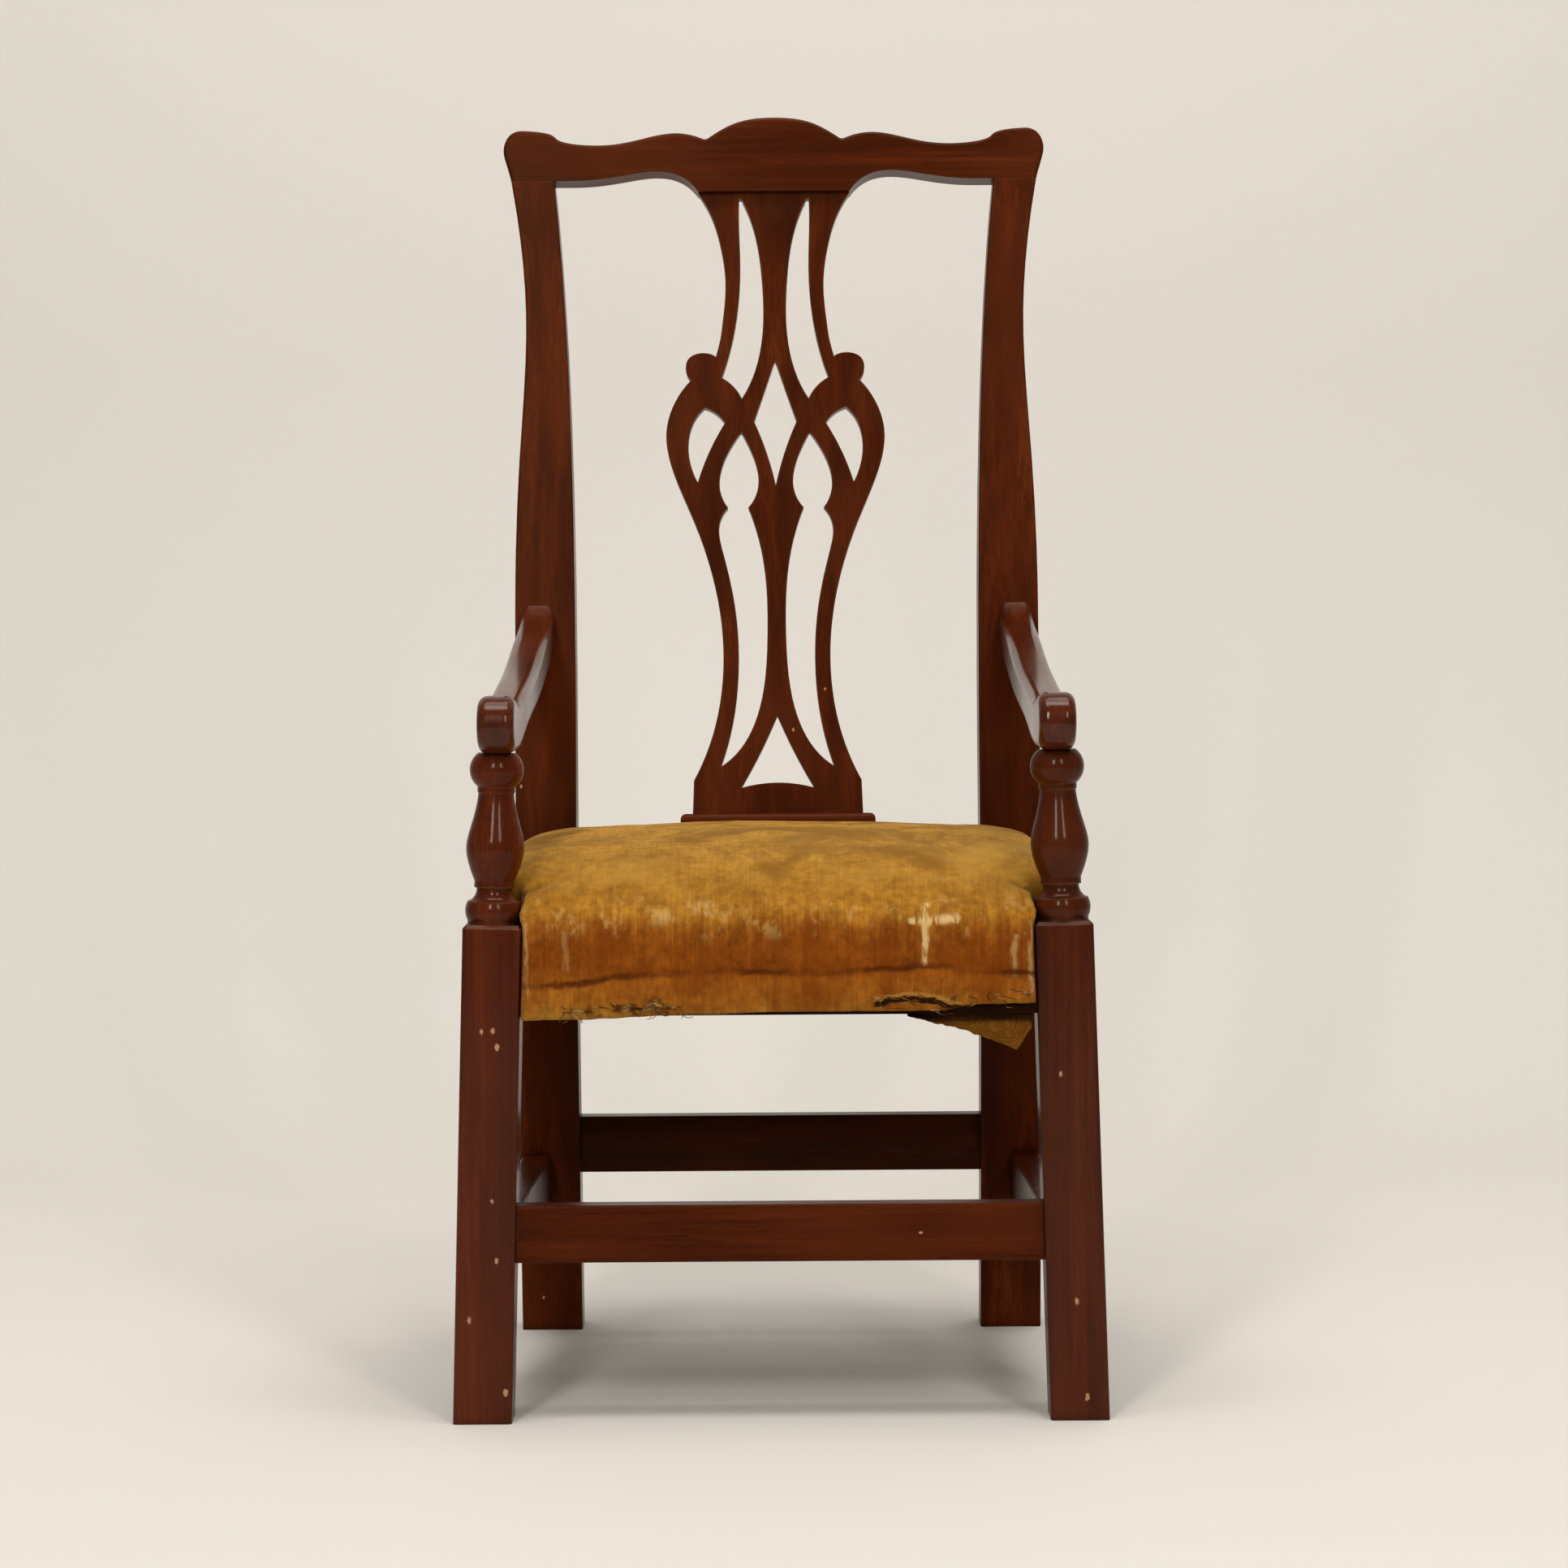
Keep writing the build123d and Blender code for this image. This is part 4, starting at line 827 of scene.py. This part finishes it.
def velvet(name, marks):
    """Faded velvet with streaks along the pile, stains, worn marks, a frayed lower edge, and painted shade in
    its creases and slit.
    """
    made, tree, shader = new_material(name)
    coords = add(tree, "TexCoord").outputs["Object"]
    place = add(tree, "SeparateXYZ", {"Vector": coords})
    streaks = grain_noise(tree, (250, 12, 9), 5.0, 0.66)
    fine = grain_noise(tree, (1200, 40, 32), 2.0, 0.5)
    wander = grain_noise(tree, (22, 22, 5), 3.0, 0.55)
    shift = maths(tree, "MULTIPLY_ADD", streaks, 15 * MM, maths(tree, "MULTIPLY", wander, 14 * MM))
    height = maths(tree, "ADD", place.outputs["Z"], maths(tree, "SUBTRACT", shift, 14.5 * MM))
    share = maths(tree, "MULTIPLY_ADD", height, 10.0, -2.40)
    colour = ramp(
        tree,
        share,
        (0.00, (0.330, 0.150, 0.022)),
        (0.08, (0.300, 0.105, 0.010)),
        (0.22, (0.270, 0.078, 0.006)),
        (0.30, (0.205, 0.050, 0.003)),
        (0.44, (0.215, 0.054, 0.003)),
        (0.54, (0.270, 0.083, 0.007)),
        (0.62, (0.330, 0.138, 0.014)),
        (0.82, (0.312, 0.140, 0.014)),
        (1.00, (0.385, 0.188, 0.024)),
    )
    on_top = remap(tree, place.outputs["Z"], top_from, top_to)
    off_top = maths(tree, "SUBTRACT", 1.0, on_top)
    shade = ramp(tree, streaks, (0.32, (0.62, 0.56, 0.48)), (0.50, plain), (0.70, (1.25, 1.32, 1.4)))
    streak_strength = maths(tree, "SUBTRACT", 0.48, maths(tree, "MULTIPLY", on_top, 0.40))
    colour = blend(tree, streak_strength, colour, shade, "MULTIPLY")
    fine_shade = ramp(tree, fine, (0.34, (0.74, 0.70, 0.64)), (0.66, (1.20, 1.24, 1.30)))
    colour = blend(tree, 0.45, colour, fine_shade, "MULTIPLY")
    mottle = grain_noise(tree, (75, 45, 60), 5.0, 0.65, 0.4)
    mottle_shade = ramp(tree, mottle, (0.30, (0.62, 0.57, 0.50)), (0.50, plain), (0.72, (1.30, 1.36, 1.42)))
    colour = blend(tree, 0.75, colour, mottle_shade, "MULTIPLY")
    speckle = grain_noise(tree, (210, 210, 170), 4.0, 0.6, 0.3)
    speckle_shade = ramp(tree, speckle, (0.32, (0.70, 0.64, 0.56)), (0.50, plain), (0.70, (1.28, 1.36, 1.44)))
    colour = blend(tree, 0.7, colour, speckle_shade, "MULTIPLY")
    stains = grain_noise(tree, (15, 13, 15), 5.0, 0.6, 0.6)
    stain_mask = product(tree, remap(tree, stains, 0.46, 0.60, 0.0, 0.85), on_top)
    colour = blend(tree, stain_mask, colour, (0.205, 0.088, 0.008, 1))
    faded = grain_noise(tree, (13, 9, 30), 4.0, 0.55, 0.3)
    fade_mask = product(tree, remap(tree, faded, 0.50, 0.70, 0.0, 0.55), on_top)
    colour = blend(tree, fade_mask, colour, (0.47, 0.26, 0.045, 1))
    rusty = grain_noise(tree, (26, 26, 14), 4.0, 0.6)
    in_band = remap(tree, share, 0.62, 0.5)
    rust_mask = product(tree, remap(tree, rusty, 0.44, 0.66, 0.0, 0.7), off_top, in_band)
    colour = blend(tree, rust_mask, colour, (0.175, 0.038, 0.002, 1))
    bare = grain_noise(tree, (120, 70, 75), 4.0, 0.6)
    near_edge = between_marks(tree, place.outputs["Z"], edge_from, edge_to, 8 * MM)
    bare_mask = product(tree, remap(tree, bare, 0.52, 0.70, 0.0, 0.55), near_edge)
    colour = blend(tree, bare_mask, colour, (0.52, 0.32, 0.09, 1))

    rubbed = remap(tree, grain_noise(tree, (300, 60, 55), 4.0, 0.7), 0.36, 0.56)
    jitter_x = grain_noise(tree, (70, 70, 55), 4.0, 0.65)
    jitter_z = grain_noise(tree, (55, 70, 70), 4.0, 0.65)
    moved_x = maths(tree, "MULTIPLY_ADD", jitter_x, 7 * MM, place.outputs["X"])
    moved_z = maths(tree, "MULTIPLY_ADD", jitter_z, 9 * MM, place.outputs["Z"])
    mark_x = maths(tree, "SUBTRACT", moved_x, 3.5 * MM)
    mark_z = maths(tree, "SUBTRACT", moved_z, 4.5 * MM)
    for x0, x1, z0, z1, soft, strength in marks:
        across = between_marks(tree, mark_x, x0 * MM, x1 * MM, soft * MM)
        up = between_marks(tree, mark_z, z0 * MM, z1 * MM, soft * MM)
        worn = maths(tree, "MULTIPLY", rubbed, strength, clamp=True)
        colour = blend(tree, product(tree, across, up, worn), colour, (0.62, 0.42, 0.17, 1))
    # Occlusion paints shade into the creases, tucks and corners.
    crevice = add(tree, "AmbientOcclusion", {"Distance": 10 * MM}, samples=6).outputs["AO"]
    colour = blend(tree, remap(tree, crevice, 0.35, 0.80, 0.75, 0.0), colour, (0.040, 0.011, 0.0015, 1))
    # Painted shade in the tucks and along the crease, read from the attribute.
    crease_shade_value = add(tree, "Attribute", attribute_name="crease_shade").outputs["Fac"]
    colour = blend(tree, remap(tree, crease_shade_value, 0.20, 1.0, 0.0, 0.85), colour, (0.085, 0.018, 0.001, 1))
    on_front = remap(tree, place.outputs["Y"], front_face + skirt_depth, front_face + 6 * MM)
    patchy = remap(tree, grain_noise(tree, (20, 20, 34), 4.0, 0.6), 0.42, 0.60, 0.22, 1.0)
    # A dark line of painted shadow along the front crease.
    from_line = maths(tree, "SUBTRACT", mark_z, line_height(tree, place.outputs["X"], front_crease))
    crease_shadow = remap(tree, maths(tree, "ABSOLUTE", from_line), 0.4 * MM, 3.0 * MM, 0.85, 0.0)
    colour = blend(tree, product(tree, crease_shadow, patchy, on_front), colour, (0.060, 0.012, 0.001, 1))
    slit_run = between_marks(tree, place.outputs["X"], slit[0][0] * MM, slit[-1][0] * MM, 1.5 * MM)
    in_slit = product(tree, slit_run, on_front)
    from_line = maths(tree, "SUBTRACT", mark_z, line_height(tree, place.outputs["X"], slit))
    slit_lip = between_marks(tree, from_line, 2.2 * MM, 3.8 * MM, 0.8 * MM)
    colour = blend(tree, product(tree, slit_lip, in_slit, 0.55), colour, (0.50, 0.27, 0.06, 1))
    # Near black along the slit: painted shade inside the open tear.
    cut = remap(tree, maths(tree, "ABSOLUTE", from_line), 1.2 * MM, 2.3 * MM, 0.96, 0.0)
    colour = blend(tree, product(tree, cut, in_slit), colour, (0.012, 0.003, 0.0005, 1))

    wave = {"Vector": coords, "Scale": 95.0, "Distortion": 3.0, "Detail": 2.0, "Detail Scale": 0.6}
    ribs = add(tree, "TexWave", wave, bands_direction="X").outputs["Fac"]
    nap = maths(tree, "ADD", maths(tree, "MULTIPLY", ribs, 0.10), maths(tree, "MULTIPLY", streaks, 0.7))
    nap = maths(tree, "ADD", nap, maths(tree, "MULTIPLY", mottle, 1.2))
    nap = maths(tree, "ADD", nap, maths(tree, "MULTIPLY", grain_noise(tree, (900, 900, 900), 3.0, 0.6), 0.45))
    bump = add(tree, "Bump", {"Strength": 0.55, "Distance": 0.7 * MM, "Height": nap})
    look = {
        "Base Color": colour,
        "Roughness": 0.85,
        "Specular IOR Level": 0.05,
        "Sheen Weight": 0.18,
        "Sheen Roughness": 0.45,
        "Sheen Tint": (1.0, 0.70, 0.28, 1),
        "Normal": bump.outputs["Normal"],
    }
    fill(tree, shader, look)
    return made


# Left, right, bottom and top of each pale mark in millimetres, its soft edge, and how strong it is
worn_marks = (
    (84.5, 88.5, 271, 306, 1.0, 1.0),
    (77, 106, 295.5, 300, 1.6, 1.3),
    (-51, -38, 303, 307, 4.5, 0.65),
    (-73, -62, 298, 302, 5, 0.6),
    (137.5, 141, 263, 289, 1.4, 0.42),
    (-127, -123.5, 270, 294, 1.4, 0.22),
    (-150, -147.5, 252, 296, 1.2, 0.40),
    (147.5, 150, 252, 296, 1.2, 0.40),
)
pad.data.materials[0] = velvet("worn_velvet", worn_marks)

# %% [markdown]
# ## Under the seat
# Three straps run from front to back and three across, woven over and under, and a coarse hessian lies on
# them. They are seen from below, so each is cloth with a weave and its own slack.

# %% Webbing and base cloth
wave_scale = 0.157  # a wave texture of scale 1 has a band about this many metres wide


def cloth_weave(name, light, dark, thread, dust_colour, shade_from=None):
    """Plain weave: threads along X and Y, uneven in colour, and painted dark as shadow above a height if one
    is given.
    """
    made, tree, shader = new_material(name)
    coords = add(tree, "TexCoord").outputs["Object"]
    wave = {"Vector": coords, "Scale": wave_scale / thread}
    warp = add(tree, "TexWave", wave, bands_direction="X")
    weft = add(tree, "TexWave", wave, bands_direction="Y")
    weave = maths(tree, "MAXIMUM", warp.outputs["Fac"], weft.outputs["Fac"])
    slub = grain_noise(tree, (160, 160, 160), 4.0, 0.6)
    dust = grain_noise(tree, (22, 22, 22), 4.0, 0.6)
    colour = ramp(tree, maths(tree, "MULTIPLY", weave, slub), (0.1, dark), (0.6, light))
    colour = blend(tree, remap(tree, dust, 0.45, 0.7, 0.0, 0.5), colour, (*dust_colour, 1))
    if shade_from is not None:
        height = add(tree, "SeparateXYZ", {"Vector": coords}).outputs["Z"]
        # Above the height, the cloth gets a painted shadow.
        painted_shadow = remap(tree, height, shade_from - 2.5 * MM, shade_from + 1.5 * MM, 0.0, 0.93)
        colour = blend(tree, painted_shadow, colour, (0.018, 0.005, 0.001, 1))
    bump = add(tree, "Bump", {"Strength": 0.6, "Distance": 0.4 * MM, "Height": weave}).outputs["Normal"]
    fill(tree, shader, {"Base Color": colour, "Roughness": 0.92, "Specular IOR Level": 0.08, "Normal": bump})
    return made


pad.data.materials[1] = cloth_weave(
    "velvet_back", (0.070, 0.046, 0.024), (0.034, 0.021, 0.010), 0.6 * MM, (0.050, 0.034, 0.020)
)


def cloth_grid(name, columns, rows, shape):
    """A grid whose points are placed by a function of two shares, each from 0 to 1."""
    bpy.ops.object.select_all(action="DESELECT")
    bpy.ops.mesh.primitive_grid_add(x_subdivisions=columns, y_subdivisions=rows, size=1)
    made = bpy.context.object
    made.name = name
    for vertex in made.data.vertices:
        vertex.co = shape(vertex.co.x + 0.5, vertex.co.y + 0.5)
    return made


def thicken_cloth(piece, thickness):
    """Gives a single layer of cloth its thickness and smooths its shading."""
    solid = piece.modifiers.new("solid", "SOLIDIFY")
    solid.thickness = thickness
    solid.offset = 0
    apply_modifiers(piece)
    bpy.ops.object.shade_smooth()


strap_width = 40 * MM
strap_thickness = 1.2 * MM
strap_places = (-88 * MM, 0, 88 * MM)
first_cross = 105 * MM
cross_spacing = 70 * MM
cross_places = [front_y + (first_cross + cross_spacing * index) for index in range(3)]
strap_middle = rail_top + 1.6 * MM
strap_sag = 1.2 * MM
strap_waver = 0.3 * MM
strap_inset = 2 * MM
strap_step = 3 * MM  # each strap further back is this much shorter at both ends
weave_rise = 0.75 * MM
weave_reach = 24 * MM
long_low, long_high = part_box("webbing_lengthwise")
cross_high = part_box("webbing_crosswise")[1]


def over_under(here, crossings, start):
    """Height of a strap that goes over one crossing strap and under the next."""
    total = 0.0
    for index, crossing in enumerate(crossings):
        sign = 1 if (index + start) % 2 else -1
        total += sign * math.exp(-(((here - crossing) / weave_reach) ** 4))
    return weave_rise * total


def join_pieces(name, pieces):
    """Joins pieces into one object with a new name."""
    only(*pieces)
    bpy.ops.object.join()
    joined = bpy.context.object
    joined.name = name
    return joined


lengthwise = []
for index, place in enumerate(strap_places):

    def lengthwise_point(u, v):
        """A point of one strap that runs from front to back."""
        y = long_low.y + strap_inset + v * (long_high.y - long_low.y - 2 * strap_inset)
        sag = strap_sag * math.sin(math.pi * v) + strap_waver * noise.noise((u * 3, v * 14, index * 5.0))
        return place + (u - 0.5) * strap_width, y, strap_middle + over_under(y, cross_places, index) - sag

    lengthwise.append(cloth_grid("strap", 8, 80, lengthwise_point))
straps_lengthwise = join_pieces("straps_lengthwise", lengthwise)
crosswise = []
for index, place in enumerate(cross_places):
    reach = cross_high.x - strap_inset - strap_step * index

    def crosswise_point(u, v):
        """A point of one strap that runs across."""
        x = (2 * u - 1) * reach
        sag = strap_sag * math.sin(math.pi * u) + strap_waver * noise.noise((u * 14, v * 3, index * 7.0))
        return x, place + (v - 0.5) * strap_width, strap_middle + over_under(x, strap_places, index + 1) - sag

    crosswise.append(cloth_grid("strap", 80, 8, crosswise_point))
straps_crosswise = join_pieces("straps_crosswise", crosswise)
webbing_finish = cloth_weave(
    "jute_webbing", (0.34, 0.24, 0.13), (0.10, 0.062, 0.030), 1.6 * MM, (0.20, 0.15, 0.10)
)
for piece, node, rests in (
    (straps_lengthwise, "webbing_lengthwise", ["seat_rail_front", "seat_rail_rear"]),
    (straps_crosswise, "webbing_crosswise", ["seat_rail_left", "seat_rail_right"]),
):
    low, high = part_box(node)
    thicken_cloth(piece, strap_thickness)
    piece.data.materials.append(webbing_finish)
    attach(piece, "root")
    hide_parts(node)

base_low, base_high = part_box("base_cloth")
base_margin = 3 * MM
base_side = 14 * MM
base_rise = 1.4 * MM
hessian_thickness = 0.7 * MM
base_sag = 1.0 * MM
base_waver = 0.3 * MM


def base_point(u, v):
    """Hessian that sags between the straps and stays clear of the legs and posts."""
    y = base_low.y + base_margin + v * (base_high.y - base_low.y - 2 * base_margin)
    half = leg_inner - base_margin if y < leg_rear + base_margin else seat_half(y - front_y) - base_side
    if y > post_front - base_margin:
        half = post_inner - base_margin
    x = (2 * u - 1) * half
    waver = base_waver * noise.noise((u * 9, v * 9, 2.0))
    sag = base_sag * math.sin(math.pi * u) * math.sin(math.pi * v) + waver
    return x, y, base_low.z + base_rise - sag


hessian = cloth_grid("hessian_base", 60, 60, base_point)
thicken_cloth(hessian, hessian_thickness)
hessian.data.materials.append(
    cloth_weave("old_hessian", (0.30, 0.205, 0.105), (0.075, 0.046, 0.022), 1.1 * MM, (0.17, 0.125, 0.08))
)
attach(hessian, "root")
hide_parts("base_cloth")

# %% [markdown]
# ## Torn lining
# Under the right end of the front rail a corner of the lining has come loose and hangs down. It is a thin
# sheet, deepest near the leg, that curls at its torn lower edge.

# %% Lining flap
flap_low, flap_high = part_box("torn_lining")
flap_width = flap_high.x - flap_low.x
flap_drop = flap_high.z - flap_low.z
flap_outline = ((0.0, 0.05), (0.45, 0.42), (0.88, 1.0), (1.0, 0.36))
flap_ragged = 0.9 * MM
flap_fold = 1.8 * MM
flap_ripple = 1.0 * MM
flap_curl = 3.0 * MM
flap_clear = 0.4 * MM
flap_thickness = 0.6 * MM


def flap_depth(u):
    """How far the flap hangs at a share of its width."""
    for (u0, d0), (u1, d1) in zip(flap_outline, flap_outline[1:]):
        if u <= u1:
            return flap_drop * (d0 + (d1 - d0) * (u - u0) / (u1 - u0))
    return flap_drop * flap_outline[-1][1]


def flap_point(u, v):
    """A point of the flap; v runs from the torn edge, 0, up to the rail, 1."""
    down = (1 - v) * flap_depth(u)
    ragged = flap_ragged * noise.noise((u * 26, 1.5, 4.0)) * (1 - v)
    fold = flap_fold * math.sin(u * 9.5 + 1.0) + flap_ripple * noise.noise((u * 7, v * 5, 8.0))
    curl = flap_curl * (1 - v) ** 3
    middle = (flap_low.y + flap_high.y) / 2
    return flap_low.x + u * flap_width, middle + fold - curl, flap_high.z - flap_clear - down - ragged


flap = cloth_grid("lining_flap", 60, 24, flap_point)
thicken_cloth(flap, flap_thickness)
# The top of the flap is painted dark as the shadow under the cover's edge.
flap_shade = flap_high.z - 5 * MM
flap.data.materials.append(
    cloth_weave(
        "old_lining",
        (0.220, 0.090, 0.009),
        (0.120, 0.042, 0.003),
        0.45 * MM,
        (0.085, 0.029, 0.002),
        flap_shade,
    )
)
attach(flap, "root")
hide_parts("torn_lining")

# %% [markdown]
# ## Frayed threads
# Along the lower edge at the left, and round the tear at the right, loose threads have pulled out of the
# weave. Each is a short thin curve that wanders sideways and droops; together they are one piece.

# %% Threads
thread_radius = 0.22 * MM
thread_count = 90
thread_step = 1.5 * MM
thread_rise = 1.1 * MM
thread_droop = 0.15 * MM
thread_hang = 2 * MM
draw = random.Random(12)
# Left and right of each frayed stretch in millimetres, and how many of the threads it has
frayed = ((-124, -58, 0.66), (60, 112, 0.20), (110, 148, 0.14))

thread_curve = bpy.data.curves.new("frayed_threads", "CURVE")
thread_curve.dimensions = "3D"
thread_curve.bevel_depth = thread_radius
thread_curve.bevel_resolution = 1
for left, right, share in frayed:
    for _ in range(round(thread_count * share)):
        x = draw.uniform(left, right) * MM
        edge_z = level(lower_edge, x)
        z = edge_z + draw.uniform(0.8, 8.0) * MM
        y = front_face - skirt_bulge - draw.uniform(-0.6, 0.3) * MM
        heading = draw.uniform(-0.6, 0.3) + (math.pi if draw.random() < 0.5 else 0)
        spline = thread_curve.splines.new("POLY")
        steps = draw.randint(5, 9)
        spline.points.add(steps - 1)
        for point in spline.points:
            point.co = (x, y, z, 1)
            heading += draw.uniform(-0.6, 0.6)
            x += thread_step * math.cos(heading)
            z = max(z + thread_rise * math.sin(heading) - thread_droop, edge_z - thread_hang)
            y += draw.uniform(-0.15, 0.12) * MM
threads = bpy.data.objects.new("frayed_threads", thread_curve)
bpy.context.scene.collection.objects.link(threads)
only(threads)
bpy.ops.object.convert(target="MESH")
threads = bpy.context.object
thread_material, thread_tree, thread_shader = new_material("loose_thread")
thread_tone = grain_noise(thread_tree, (150, 150, 150), 2.0, 0.5)
thread_colour = ramp(
    thread_tree,
    thread_tone,
    (0.38, (0.045, 0.016, 0.003)),
    (0.52, (0.140, 0.056, 0.010)),
    (0.66, (0.46, 0.29, 0.10)),
)
thread_look = {"Base Color": thread_colour, "Roughness": 0.9, "Specular IOR Level": 0.05}
fill(thread_tree, thread_shader, thread_look)
threads.data.materials.append(thread_material)
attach(threads, "root")
print("threads:", len(threads.data.polygons), "faces")
